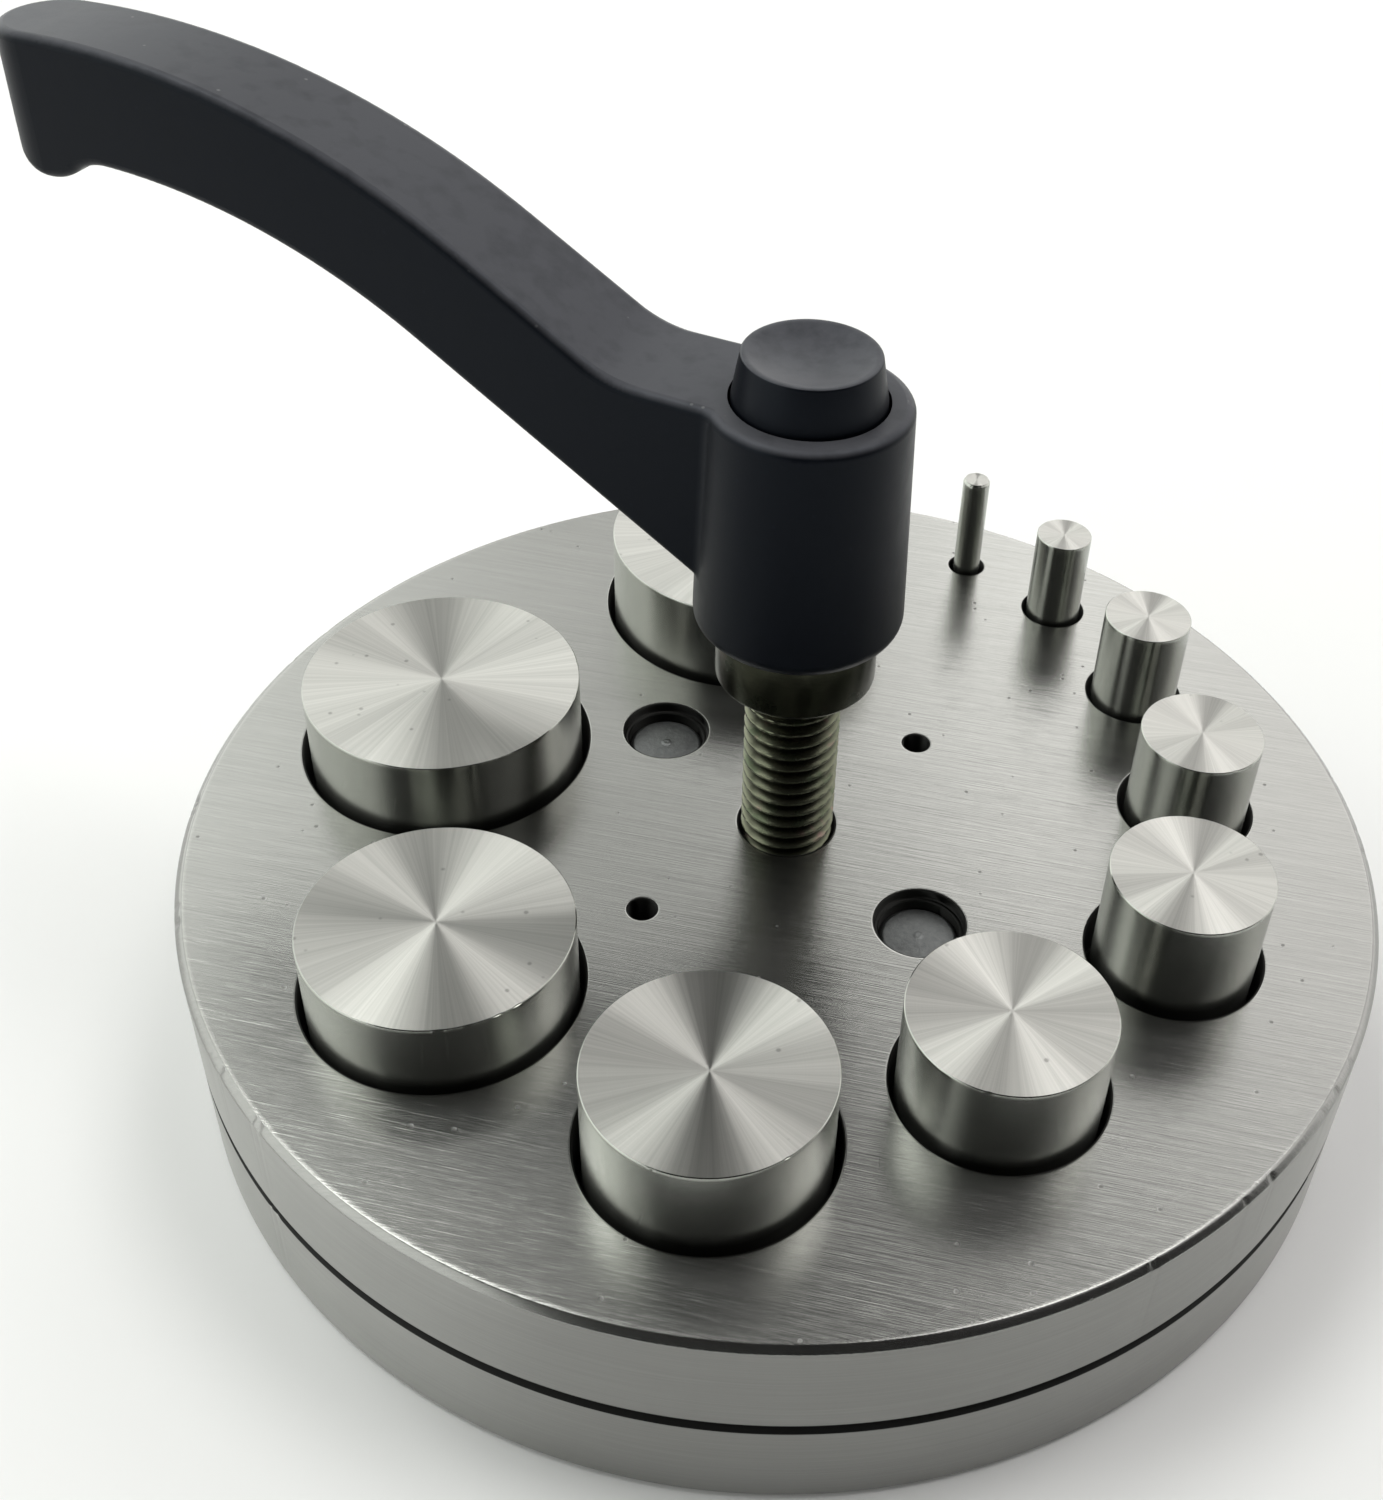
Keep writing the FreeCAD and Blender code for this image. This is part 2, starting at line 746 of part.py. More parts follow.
def biarc(start, start_way, end, end_way):
    """Two arcs that meet smoothly and keep both end directions."""
    chord = end - start
    ways = start_way + end_way
    bend = 2 * (1 - start_way.dot(end_way))
    reach = (math.sqrt(chord.dot(ways) ** 2 + bend * chord.dot(chord)) - chord.dot(ways)) / bend
    first_corner = start + start_way * reach
    last_corner = end - end_way * reach
    joint = (first_corner + last_corner) * 0.5
    return [
        rounded_corner(start, first_corner, joint, reach),
        rounded_corner(joint, last_corner, end, reach),
    ]


def rounded_corner(start, corner, end, leg):
    """The arc that is tangent to both legs of an even-legged corner."""
    weight = (end - start).Length / 2 / leg
    middle = (start + corner * (2 * weight) + end) * (0.5 / (1 + weight))
    return Part.Arc(start, middle, end).toShape()


def make_spring():
    """The return spring, one unbroken tube wound on biarcs of a quarter turn."""
    wire = size("spring_wire").value
    radius = size("spring_mean_diameter").value / 2
    coils = int(size("spring_coils").value)
    _, ceiling, _ = hub_levels()
    ends = wire / 2 + size("seat_gap").value
    bottom = (JOURNAL_TOP + size("washer_thickness")).value + ends
    top = (ceiling - size("stop_gap") - size("coupling_disc_height")).value - ends
    pitch = (top - bottom) / coils
    print("spring: least gap between turns", round(pitch - wire, 3), "mm")

    def spot(turns):
        angle = 2 * math.pi * turns
        return Vector(radius * math.cos(angle), radius * math.sin(angle), bottom + pitch * turns)

    def way(turns):
        angle = 2 * math.pi * turns
        along = Vector(-math.sin(angle), math.cos(angle), 0) * (2 * math.pi * radius)
        return (along + UP * pitch).normalize()

    edges = []
    for quarter in range(4 * coils):
        start = quarter / 4
        end = (quarter + 1) / 4
        edges += biarc(spot(start), way(start), spot(end), way(end))
    ring = Part.Wire(Part.makeCircle(wire / 2, spot(0), way(0)))
    spring = doc.addObject("Part::Feature", "return_spring")
    spring.Shape = Part.Wire(edges).makePipeShell([ring], True, False)
    return spring


def make_button():
    """The dished push button, with a blind socket for the post of the coupling."""
    bottom = HUB_TOP - size("button_skirt")
    top = HUB_TOP + size("button_stand")
    base = size("button_base_diameter") / 2
    rim = size("button_top_diameter") / 2
    blank = turned("button_blank", [
        (ZERO, bottom),
        (base, bottom),
        (base, HUB_TOP),
        (rim, top),
        (ZERO, top),
    ])
    edge_height = top.value - size("seat_gap").value

    def is_top(edge):
        return edge.BoundBox.ZMin > edge_height and edge.BoundBox.XLength > rim.value

    soft = rounded("button_edge", blank, size("button_edge_rounding"), is_top)
    dish = doc.addObject("Part::Sphere", "button_dish")
    depth = size("button_dish_depth")
    spread = rim - size("button_dish_rim")
    ball = (spread * spread / depth + depth) / 2
    bind(dish, "Radius", ball)
    place(dish, height=top + ball - depth)
    hole = size("post_diameter") / 2 + size("button_socket_clearance")
    socket = cylinder("button_socket", hole, size("button_socket_depth") + OVERRUN, bottom=bottom - OVERRUN)
    return cut("release_button", soft, fused("button_cuts", [dish, socket]))


def make_punches():
    smallest = PUNCH_SHARES[0][0]
    punches = []
    for name, *_ in PUNCH_SHARES:
        chamfer = "smallest_punch_chamfer" if name == smallest else "punch_top_chamfer"
        punches.append(make_punch(name, size(chamfer)))
    return punches


def check_document():
    """Stop if any object of the document failed to build."""
    for item in doc.Objects:
        if "Invalid" in item.State or "Error" in item.State:
            raise RuntimeError(f"{item.Name} did not build: {item.State}")


def write_nodes(nodes):
    os.makedirs("parts", exist_ok=True)
    for node in nodes:
        node.Label = node.Name
        shape = node.Shape
        if shape.isNull() or not shape.isValid():
            raise RuntimeError(f"{node.Name} has no valid shape")
        box = shape.BoundBox
        print(f"{node.Name}: solids {len(shape.Solids)}, volume {shape.Volume:.2f},",
              f"height {box.ZMin:.2f} to {box.ZMax:.2f}")
        shape.exportStep(f"parts/{node.Name}.step")


nodes = [
    make_lower_plate(),
    make_upper_plate(),
    make_dowel("guide_pin_left", 0),
    make_dowel("guide_pin_right", 180),
    *make_punches(),
    make_screw(),
    make_snap_ring(),
    make_washer(),
    make_lever(),
    make_coupling(),
    make_spring(),
    make_button(),
]
doc.recompute()
check_document()
write_nodes(nodes)
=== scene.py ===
"""The look of a jeweller's disc cutter: surfaces, finishes, floor, light and camera.

Sizes in the property groups are millimetres or metres as their units say; meshes are in metres.
"""

import json
import math

import bmesh
import bpy
import numpy as np
from bpy.props import FloatProperty, FloatVectorProperty, IntProperty, PointerProperty
from mathutils import Matrix, Vector
from mathutils.geometry import delaunay_2d_cdt


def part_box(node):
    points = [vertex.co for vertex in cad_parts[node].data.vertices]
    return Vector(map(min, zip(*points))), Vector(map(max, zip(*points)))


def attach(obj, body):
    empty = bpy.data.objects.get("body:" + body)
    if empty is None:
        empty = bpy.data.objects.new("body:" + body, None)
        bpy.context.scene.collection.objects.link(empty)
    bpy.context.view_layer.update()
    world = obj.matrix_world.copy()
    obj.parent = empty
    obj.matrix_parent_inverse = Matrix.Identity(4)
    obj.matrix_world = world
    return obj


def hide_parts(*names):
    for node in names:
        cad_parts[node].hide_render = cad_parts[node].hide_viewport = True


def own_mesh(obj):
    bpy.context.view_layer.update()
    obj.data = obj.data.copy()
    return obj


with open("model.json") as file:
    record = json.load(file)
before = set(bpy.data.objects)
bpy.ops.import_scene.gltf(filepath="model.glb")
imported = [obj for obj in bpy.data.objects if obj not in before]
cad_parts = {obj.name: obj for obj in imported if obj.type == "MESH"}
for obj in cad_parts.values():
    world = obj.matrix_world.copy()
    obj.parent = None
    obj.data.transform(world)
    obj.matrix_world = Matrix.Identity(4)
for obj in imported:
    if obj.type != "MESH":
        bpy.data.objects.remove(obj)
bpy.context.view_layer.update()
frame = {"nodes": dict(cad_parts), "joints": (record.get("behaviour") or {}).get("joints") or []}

bl_info = {
    "name": "Disc Cutter",
    "version": (1, 0, 0),
    "blender": (4, 5, 0),
    "location": "3D View > Sidebar > Disc Cutter",
    "description": "Builds the surfaces and finishes of a disc cutter round its packed frame",
    "category": "Object",
}

MM = 0.001
PUNCHES = [f"punch_{number:02d}" for number in range(1, 11)]
DOWELS = ("guide_pin_left", "guide_pin_right")
AXIS = (0.0, 0.0)

# Millimetres: how far each punch's end dips and rises in the middle, and the gap of its relief
FACE_SHAPES = {"punch_07": (0.25, 0.0), "punch_08": (0.0, 0.2), "punch_05": (0.0, 0.08)}
FACE_SHAPE = (0.05, 0.0)
RELIEF_WIDTHS = (0.44, 0.38, 0.50, 0.72, 0.82, 0.60, 0.72, 0.60, 0.78, 0.65)

# Millimetres: how much wider each hole is than the part in it
GUIDE_FIT = 0.05
DIE_FIT = 0.04
SEAT_FIT = 0.01
SCREW_FIT = 0.24
RECESS_FIT = 0.5

# Millimetres: the other sizes of the holes of the plates
RECESS_DEPTH = 1.0
SCREW_FLOOR = 2.0
JACK_RADIUS = 1.4
JACK_ORBIT = 19.3
JACK_ANGLE = math.radians(46.4)

# Numbers that mark the parts of a plate for its finish
CHAMFER, FLAT, WALL, HOLE, GROOVE = -1.0, 0.0, 1.0, 2.0, 3.0

# Points closer than this many metres are one point
SEAM = 1e-7

# Turn of the anisotropy that spreads light across lines round an axis
ACROSS_LINES = 0.25

# Tint of the shine on what is black
BLUISH = (0.76, 0.86, 1.0, 1.0)


def box_mm(node):
    """Lowest and highest corner of a CAD node, in millimetres."""
    low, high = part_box(node)
    return np.array(low) / MM, np.array(high) / MM


def disc_of(node):
    """Axis and radius of an upright round node, from its box."""
    low, high = box_mm(node)
    return (low[:2] + high[:2]) / 2, (high[0] - low[0]) / 2


# Surfaces

class Patch:
    """Part of a surface: its points in millimetres, its faces, and one number for each face."""

    def __init__(self, points, faces, zone):
        self.points = np.asarray(points, float).reshape(-1, 3)
        self.faces = [tuple(face) for face in np.asarray(faces, int).tolist()]
        self.zone = [zone] * len(self.faces) if np.isscalar(zone) else list(zone)


def ring_faces(rows, columns):
    """Quads between neighbouring rows of a grid whose last column meets its first."""
    row, column = np.meshgrid(np.arange(rows - 1), np.arange(columns), indexing="ij")
    here = row * columns + column
    beside = row * columns + (column + 1) % columns
    return np.stack([here, beside, beside + columns, here + columns], axis=-1).reshape(-1, 4)


def turned(profile, centre, columns, zone=1.0):
    """A profile turned about an upright axis.

    Point (i, j) is (cx + r cos a, cy + r sin a, h): r and h come from row i of the profile and
    a is j / columns of a turn. Walls face outwards where the profile climbs. A row may hold one
    radius and height or an array of them, one for each column.
    """
    angle = 2 * math.pi * np.arange(columns) / columns
    radius = np.array([np.broadcast_to(r, columns) for r, _ in profile], float)
    height = np.array([np.broadcast_to(h, columns) for _, h in profile], float)
    points = np.stack([
        centre[0] + radius * np.cos(angle),
        centre[1] + radius * np.sin(angle),
        height,
    ], axis=-1)
    return Patch(points, ring_faces(len(profile), columns), zone)


def softened(profile, radius, steps=3):
    """A profile with its inner corners rounded.

    Each corner gives way to a parabola from a point before it to one after it, both the radius
    away or less: p(t) = (1 - t)^2 a + 2 t (1 - t) corner + t^2 b.
    """
    spots = np.array(profile, float)
    result = [spots[0]]
    for before, corner, after in zip(spots[:-2], spots[1:-1], spots[2:]):
        back, ahead = before - corner, after - corner
        reach = min(radius, 0.45 * np.linalg.norm(back), 0.45 * np.linalg.norm(ahead))
        start = corner + back * (reach / np.linalg.norm(back))
        end = corner + ahead * (reach / np.linalg.norm(ahead))
        for share in np.linspace(0, 1, steps):
            bow = 2 * share * (1 - share) * corner
            result.append((1 - share) ** 2 * start + bow + share ** 2 * end)
    result.append(spots[-1])
    return [tuple(spot) for spot in result]


def pierced_face(rim, holes, height, up):
    """A flat face between an outer ring and the rings of holes.

    The rings' points go into a constrained Delaunay net, and a triangle stays if its middle
    is outside every hole.
    """
    rings = [rim] + [ring for ring, _, _ in holes]
    points = np.concatenate(rings)
    edges = []
    start = 0
    for ring in rings:
        order = start + np.arange(len(ring))
        edges += list(zip(order.tolist(), np.roll(order, -1).tolist()))
        start += len(ring)
    net = delaunay_2d_cdt([Vector(point) for point in points], edges, [], 0, SEAM)
    spots = np.array([tuple(spot) for spot in net[0]])
    faces = np.array([list(face) for face in net[2]])
    middle = spots[faces].mean(axis=1)
    keep = np.ones(len(faces), bool)
    for _, centre, radius in holes:
        keep &= np.hypot(*(middle - centre).T) > radius
    faces = faces[keep]
    first, second, third = (spots[faces[:, corner]] for corner in range(3))
    turn = np.cross(second - first, third - first)
    flip = turn < 0 if up else turn > 0
    faces[flip] = faces[flip][:, ::-1]
    return Patch(np.column_stack([spots, np.full(len(spots), height)]), faces, FLAT)


def ring_xy(patch, row, columns):
    """The points of one row of a turned patch, seen from above."""
    return patch.points[row * columns:(row + 1) * columns, :2]


def nicks(columns, seed, count, depth, width):
    """Small dents round a rim, in millimetres for each column.

    A sum of narrow bells, each of them its depth * exp(-((angle - place) / width)^2), cut off
    at the greatest depth.
    """
    chance = np.random.default_rng(seed)
    angle = 2 * math.pi * np.arange(columns) / columns
    dent = np.zeros(columns)
    for _ in range(count):
        off = (angle - chance.uniform(0, 2 * math.pi) + math.pi) % (2 * math.pi) - math.pi
        deep = depth * chance.uniform(0.2, 1.0)
        dent += deep * np.exp(-(off / (width * chance.uniform(0.4, 1.6))) ** 2)
    return np.minimum(dent, depth)


def mesh_piece(name, patches, smooth_angle=30):
    """One mesh from patches, with the doubled points of their seams merged."""
    points = np.concatenate([patch.points for patch in patches]) * MM
    faces = []
    zones = []
    start = 0
    for patch in patches:
        faces += [tuple(index + start for index in face) for face in patch.faces]
        zones += patch.zone
        start += len(patch.points)
    mesh = bpy.data.meshes.new(name)
    mesh.from_pydata(points.tolist(), [], faces)
    zone = mesh.attributes.new("zone", "FLOAT", "FACE")
    zone.data.foreach_set("value", np.array(zones, np.float32))
    net = bmesh.new()
    net.from_mesh(mesh)
    bmesh.ops.remove_doubles(net, verts=net.verts, dist=SEAM)
    net.to_mesh(mesh)
    net.free()
    mesh.shade_smooth()
    mesh.set_sharp_from_angle(angle=math.radians(smooth_angle))
    piece = bpy.data.objects.new(name, mesh)
    bpy.context.scene.collection.objects.link(piece)
    return piece


def add_local(piece, origin):
    """A point attribute that holds each point's place from an origin, in millimetres."""
    count = len(piece.data.vertices)
    spots = np.empty(count * 3)
    piece.data.vertices.foreach_get("co", spots)
    local = spots.reshape(-1, 3) / MM - np.asarray(origin)
    attribute = piece.data.attributes.new("local", "FLOAT_VECTOR", "POINT")
    attribute.data.foreach_set("vector", local.astype(np.float32).ravel())


def finish_piece(piece, material, body, slot, *nodes):
    """Give a piece its material and its place in the frame."""
    piece.data.materials.clear()
    piece.data.materials.append(material)
    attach(piece, body)
    if nodes:
        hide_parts(*nodes)
    return piece


def dress(node, material):
    """Give a node of the frame a finish of its own."""
    mesh = frame["nodes"][node].data
    mesh.materials.clear()
    mesh.materials.append(material)


# Finishes

class Shade:
    """A value in a material. Arithmetic on it adds the Math nodes that work it out."""

    def __init__(self, recipe, socket):
        self.recipe = recipe
        self.socket = socket

    def __add__(self, other):
        return self.recipe.math("ADD", self, other)

    def __sub__(self, other):
        return self.recipe.math("SUBTRACT", self, other)

    def __rsub__(self, other):
        return self.recipe.math("SUBTRACT", other, self)

    def __mul__(self, other):
        return self.recipe.math("MULTIPLY", self, other)

    __radd__ = __add__
    __rmul__ = __mul__


class Recipe:
    """The nodes of one material or of the world, written as expressions."""

    def __init__(self, tree):
        self.tree = tree
        tree.nodes.clear()

    def node(self, kind, inputs, output=0, **settings):
        """Add a node of a type: its settings first, then the values or links of its sockets."""
        node = self.tree.nodes.new("ShaderNode" + kind)
        for name, value in settings.items():
            setattr(node, name, value)
        for name, value in inputs.items():
            if isinstance(value, Shade):
                self.tree.links.new(value.socket, node.inputs[name])
            else:
                node.inputs[name].default_value = value
        return None if output is None else Shade(self, node.outputs[output])

    def math(self, operation, *values):
        return self.node("Math", dict(enumerate(values)), operation=operation)

    def vector_math(self, operation, first, second, output=0):
        return self.node("VectorMath", {0: first, 1: second}, output=output, operation=operation)

    def radius(self, across, along):
        """Distance from the upright axis."""
        return self.math("SQRT", across * across + along * along)

    def step(self, value, low, high):
        """0 below low, 1 above high and between them a smooth climb, 3 t^2 - 2 t^3."""
        return self.node("MapRange", {0: value, 1: low, 2: high}, interpolation_type="SMOOTHSTEP")

    def mix(self, factor, first, second):
        """A colour on the way from the first to the second."""
        return self.node("Mix", {0: factor, 6: first, 7: second}, output=2, data_type="RGBA")

    def tint(self, colour, amount):
        """A colour made lighter or darker by a factor."""
        white = self.node("CombineColor", {0: amount, 1: amount, 2: amount})
        inputs = {0: 1.0, 6: colour, 7: white}
        return self.node("Mix", inputs, output=2, data_type="RGBA", blend_type="MULTIPLY")

    def place(self):
        """Object coordinates in millimetres."""
        spot = self.node("TexCoord", {}, output=3)
        return self.node("VectorMath", {0: spot, 3: 1 / MM}, operation="SCALE")

    def stretch(self, spot, x, y, z):
        """A place with each coordinate multiplied: under 1 draws a pattern out that way."""
        return self.vector_math("MULTIPLY", spot, (x, y, z))

    def turn(self, spot, angle, centre=(0.0, 0.0, 0.0)):
        """A place turned about an upright line, by an angle in degrees."""
        inputs = {"Vector": spot, "Angle": math.radians(angle), "Center": centre}
        return self.node("VectorRotate", inputs)

    def parts(self, spot):
        """The three coordinates of a place."""
        node = self.tree.nodes.new("ShaderNodeSeparateXYZ")
        self.tree.links.new(spot.socket, node.inputs[0])
        return [Shade(self, output) for output in node.outputs]

    def noise(self, spot, scale, detail=2.0, roughness=0.5):
        inputs = {"Vector": spot, "Scale": scale, "Detail": detail, "Roughness": roughness}
        return self.node("TexNoise", inputs)

    def flecks(self, spot, scale, share):
        """Small scattered spots: 1 inside a spot, in the given share of cells."""
        core, border = 0.08, 0.22
        cell = {"Vector": spot, "Scale": scale}
        near = self.node("TexVoronoi", cell, output=0)
        chance = self.node("TexVoronoi", cell, output=1)
        picked = self.math("LESS_THAN", self.parts(chance)[0], share)
        return (1 - self.step(near, core, border)) * picked

    def attribute(self, name, output=2):
        """An attribute of the mesh: output 1 is its vector and output 2 its number."""
        return self.node("Attribute", {}, output=output, attribute_name=name)

    def bump(self, height, strength, distance, normal=None):
        """A normal tilted by a height, on top of another normal if one is given."""
        inputs = {"Height": height, "Strength": strength, "Distance": distance}
        if normal is not None:
            inputs["Normal"] = normal
        return self.node("Bump", inputs)

    def shader(self, **inputs):
        """A Principled shader; underscores in the names of its sockets stand for spaces."""
        sockets = {name.replace("_", " "): value for name, value in inputs.items()}
        return self.node("BsdfPrincipled", sockets)

    def surface(self, **inputs):
        self.output(self.shader(**inputs))

    def upward(self):
        """How far the surface faces up: the z of its normal."""
        return self.parts(self.node("NewGeometry", {}, output=1))[2]

    def output(self, shader, kind="Material"):
        self.node("Output" + kind, {0: shader}, output=None)


def grey(tone):
    return (tone, tone, tone, 1.0)


def material(name):
    """A new material and its recipe."""
    made = bpy.data.materials.new(name)
    made.use_nodes = True
    return made, Recipe(made.node_tree)


def rgba(colour):
    return tuple(colour) + (1.0,)


def scratches(recipe, spot, angle, spacing, length, seed, share):
    """Thin straight marks: a noise stretched along one direction, cut off near its top."""
    fade = 0.035
    turned_spot = recipe.turn(spot, angle, (seed, -seed, 0.0))
    lines = recipe.stretch(turned_spot, 1 / length, 1 / spacing, 1 / length)
    return recipe.step(recipe.noise(lines, 1.0, 0.0), share, share + fade)


def ground_steel(settings):
    """Ground plate steel.

    Straight grain on the flats and lines round the rims. The hole walls are painted near black as
    painted shade, with some dark oxide;
    the groove between the plates is painted dark as the shade in the gap, with some grime; the top
    chamfer and the outer walls are painted darker as painted shade. The zone attribute says which
    of them a face is.
    """
    made, recipe = material("ground_steel")
    spot = recipe.place()
    zone = recipe.attribute("zone")
    wall = recipe.step(zone, WALL - 0.6, WALL - 0.4)
    hole = recipe.step(zone, HOLE - 0.6, HOLE - 0.4)
    groove = recipe.step(zone, GROOVE - 0.6, GROOVE - 0.4)
    flat = 1 - wall
    chamfer = recipe.step(0 - zone, -CHAMFER - 0.6, -CHAMFER - 0.4)
    flat_grain = recipe.stretch(recipe.turn(spot, settings.grain_angle), 0.05, 4.2, 1.0)
    wall_grain = recipe.stretch(spot, 0.03, 0.03, 3.4)
    grain = {0: wall, 4: flat_grain, 5: wall_grain}
    grain_spot = recipe.node("Mix", grain, output=1, data_type="VECTOR")
    coarse = recipe.noise(grain_spot, 1.0, 4.0, 0.65)
    fine = recipe.noise(grain_spot, 2.6, 2.0, 0.6)
    cloud = recipe.noise(spot, 0.035, 3.0, 0.55)
    smear = recipe.noise(recipe.stretch(spot, 0.02, 0.30, 0.12), 1.0, 3.0, 0.6)
    marks = scratches(recipe, spot, angle=7, spacing=0.09, length=14, seed=3.0, share=0.77)
    across = scratches(recipe, spot, angle=-38, spacing=0.08, length=8, seed=40.0, share=0.80)
    marks = marks + across
    specks = recipe.flecks(spot, 0.8, 0.05)
    tone = 0.76 + coarse * 0.22 + fine * 0.18 + (cloud - 0.5) * 0.10 + (smear - 0.5) * 0.10
    tone = tone + flat * (marks * 0.05 - specks * 0.45)
    # Painted shade: the hole walls are painted near black for the shade down the holes, with some
    # dark oxide, and the groove between the plates is painted dark for the shade in the gap, with
    # some grime.
    tone = tone * (1 - hole * 0.92) * (1 - groove * 0.80)
    # Painted shade: the top chamfer and the outer walls are painted darker than the flats, for the
    # dark front they reflect.
    tone = tone * (1 - chamfer * 0.32) * (1 - (wall - hole) * 0.19)
    colour = recipe.tint(rgba(settings.plate_colour), tone)
    rough = 0.20 + coarse * 0.06 + (cloud - 0.5) * 0.04
    rough = rough + hole * 0.15 + groove * 0.15 + flat * specks * 0.2
    height = coarse * 0.5 + fine * 0.6 + flat * (marks * 0.04 - specks * 0.6)
    normal = recipe.bump(height, 0.45, 0.05 * MM)
    flat_shader = recipe.shader(Base_Color=colour, Metallic=1.0, Roughness=rough, Normal=normal)
    wall_shader = recipe.shader(
        Base_Color=colour, Metallic=1 - groove * 0.7, Roughness=rough + 0.22, Normal=normal,
        Anisotropic=0.85, Anisotropic_Rotation=ACROSS_LINES)
    recipe.output(recipe.node("MixShader", {0: wall, 1: flat_shader, 2: wall_shader}))
    return made


def punch_steel(settings):
    """Punch steel: turning lines spread the light into a bow on the ends and up the sides, and rays
    of painted highlight and shade streak the ends.
    """
    made, recipe = material("punch_steel")
    spot = recipe.place()
    end = recipe.attribute("zone")
    local = recipe.attribute("local", output=1)
    across, along, _ = recipe.parts(local)
    radius = recipe.radius(across, along)
    level = recipe.stretch(local, 1.0, 1.0, 0.0)
    unit = recipe.node("VectorMath", {0: level}, operation="NORMALIZE")
    origin = recipe.vector_math("SUBTRACT", spot, local)
    ray_spot = recipe.vector_math("ADD", unit, recipe.stretch(origin, 0.11, 0.13, 0.0))
    ray_spot = recipe.stretch(ray_spot, 1.0, 1.0, 0.0)
    painted_rays = recipe.noise(ray_spot, 7.0, 5.0, 0.70)
    fine_painted_rays = recipe.noise(ray_spot, 38.0, 2.0, 0.6)
    rings = recipe.noise(recipe.node("CombineXYZ", {0: radius}), 3.4, 4.0, 0.7)
    specks = recipe.flecks(spot, 0.7, 0.07)
    # Painted highlight and shade: the rays make the ends lighter and darker in streaks round their
    # middle, for the light the turning lines throw. They also vary the roughness.
    end_tone = 0.97 + (painted_rays - 0.5) * 0.60 + (fine_painted_rays - 0.5) * 0.40 - specks * 0.35
    smear = recipe.noise(recipe.stretch(spot, 0.25, 0.25, 0.05), 1.0, 4.0, 0.6)
    side_tone = 0.86 + smear * 0.22 - recipe.flecks(spot, 1.1, 0.04) * 0.2
    tone = end * end_tone + (1 - end) * side_tone
    end_colour = rgba(settings.punch_end_colour)
    side_colour = rgba(settings.punch_side_colour)
    colour = recipe.tint(recipe.mix(end, side_colour, end_colour), tone)
    rough = end * (0.37 + (painted_rays - 0.5) * 0.12) + (1 - end) * (0.16 + smear * 0.08)
    height = end * rings + (1 - end) * smear * 0.03
    normal = recipe.bump(height, 0.25, 0.04 * MM)
    recipe.surface(
        Base_Color=colour, Metallic=1.0, Roughness=rough, Normal=normal,
        Anisotropic=0.95, Anisotropic_Rotation=ACROSS_LINES)
    return made


def dowel_steel(settings):
    """Dull grey dowel ends, pitted and blotched."""
    made, recipe = material("dowel_steel")
    spot = recipe.place()
    pits = recipe.noise(spot, 1.6, 5.0, 0.7)
    blotch = recipe.noise(spot, 0.5, 3.0, 0.6)
    tone = 0.45 + pits * 0.8 + blotch * 0.4
    colour = recipe.tint(rgba(settings.dowel_colour), tone)
    normal = recipe.bump(pits, 0.6, 0.08 * MM)
    recipe.surface(Base_Color=colour, Metallic=0.9, Roughness=0.32 + blotch * 0.2, Normal=normal)
    return made


def plated_steel(settings):
    """Zinc plating with a dark yellow-green passivation that turns pink in places.

    Painted shade darkens the roots of the thread and a painted highlight lightens its crests; all
    that is wider than the thread is painted darker, for the shade under the hub.
    """
    made, recipe = material("plated_steel")
    spot = recipe.place()
    drift = recipe.noise(spot, 0.35, 3.0, 0.6)
    hue = recipe.noise(recipe.stretch(spot, 1.0, 1.0, 0.5), 0.5, 2.0, 0.5)
    green = rgba(settings.plating_colour)
    pink, deep_green = (0.20, 0.13, 0.12, 1.0), (0.05, 0.07, 0.04, 1.0)
    colour = recipe.mix(recipe.step(hue, 0.60, 0.74) * 0.7, green, pink)
    colour = recipe.mix(recipe.step(drift, 0.5, 0.7) * 0.6, colour, deep_green)
    across, along, _ = recipe.parts(spot)
    radius = recipe.radius(across, along)
    grain = recipe.noise(recipe.stretch(spot, 0.6, 0.6, 6.0), 1.0, 3.0, 0.6)
    # Painted highlight and shade: the crests of the thread are painted lighter and the roots
    # darker, and the collar and all that is wider are painted darker for the shade under the hub.
    painted_thread_light = 0.30 + recipe.step(radius, 4.15, 4.70) * 0.90
    painted_light_and_shade = painted_thread_light * (1 - recipe.step(radius, 4.9, 5.2) * 0.72)
    recipe.surface(
        Base_Color=recipe.tint(colour, painted_light_and_shade * (0.75 + grain * 0.5)), Metallic=1.0,
        Roughness=0.20 + drift * 0.12, Normal=recipe.bump(grain, 0.25, 0.03 * MM))
    return made


def spring_steel(settings):
    """Drawn wire with fine lines along it."""
    made, recipe = material("spring_steel")
    spot = recipe.place()
    lines = recipe.noise(recipe.stretch(spot, 1.0, 1.0, 7.0), 1.0, 3.0, 0.6)
    colour = recipe.tint(rgba(settings.wire_colour), 0.8 + lines * 0.4)
    recipe.surface(
        Base_Color=colour, Metallic=1.0, Roughness=0.3 + lines * 0.1,
        Normal=recipe.bump(lines, 0.2, 0.02 * MM))
    return made


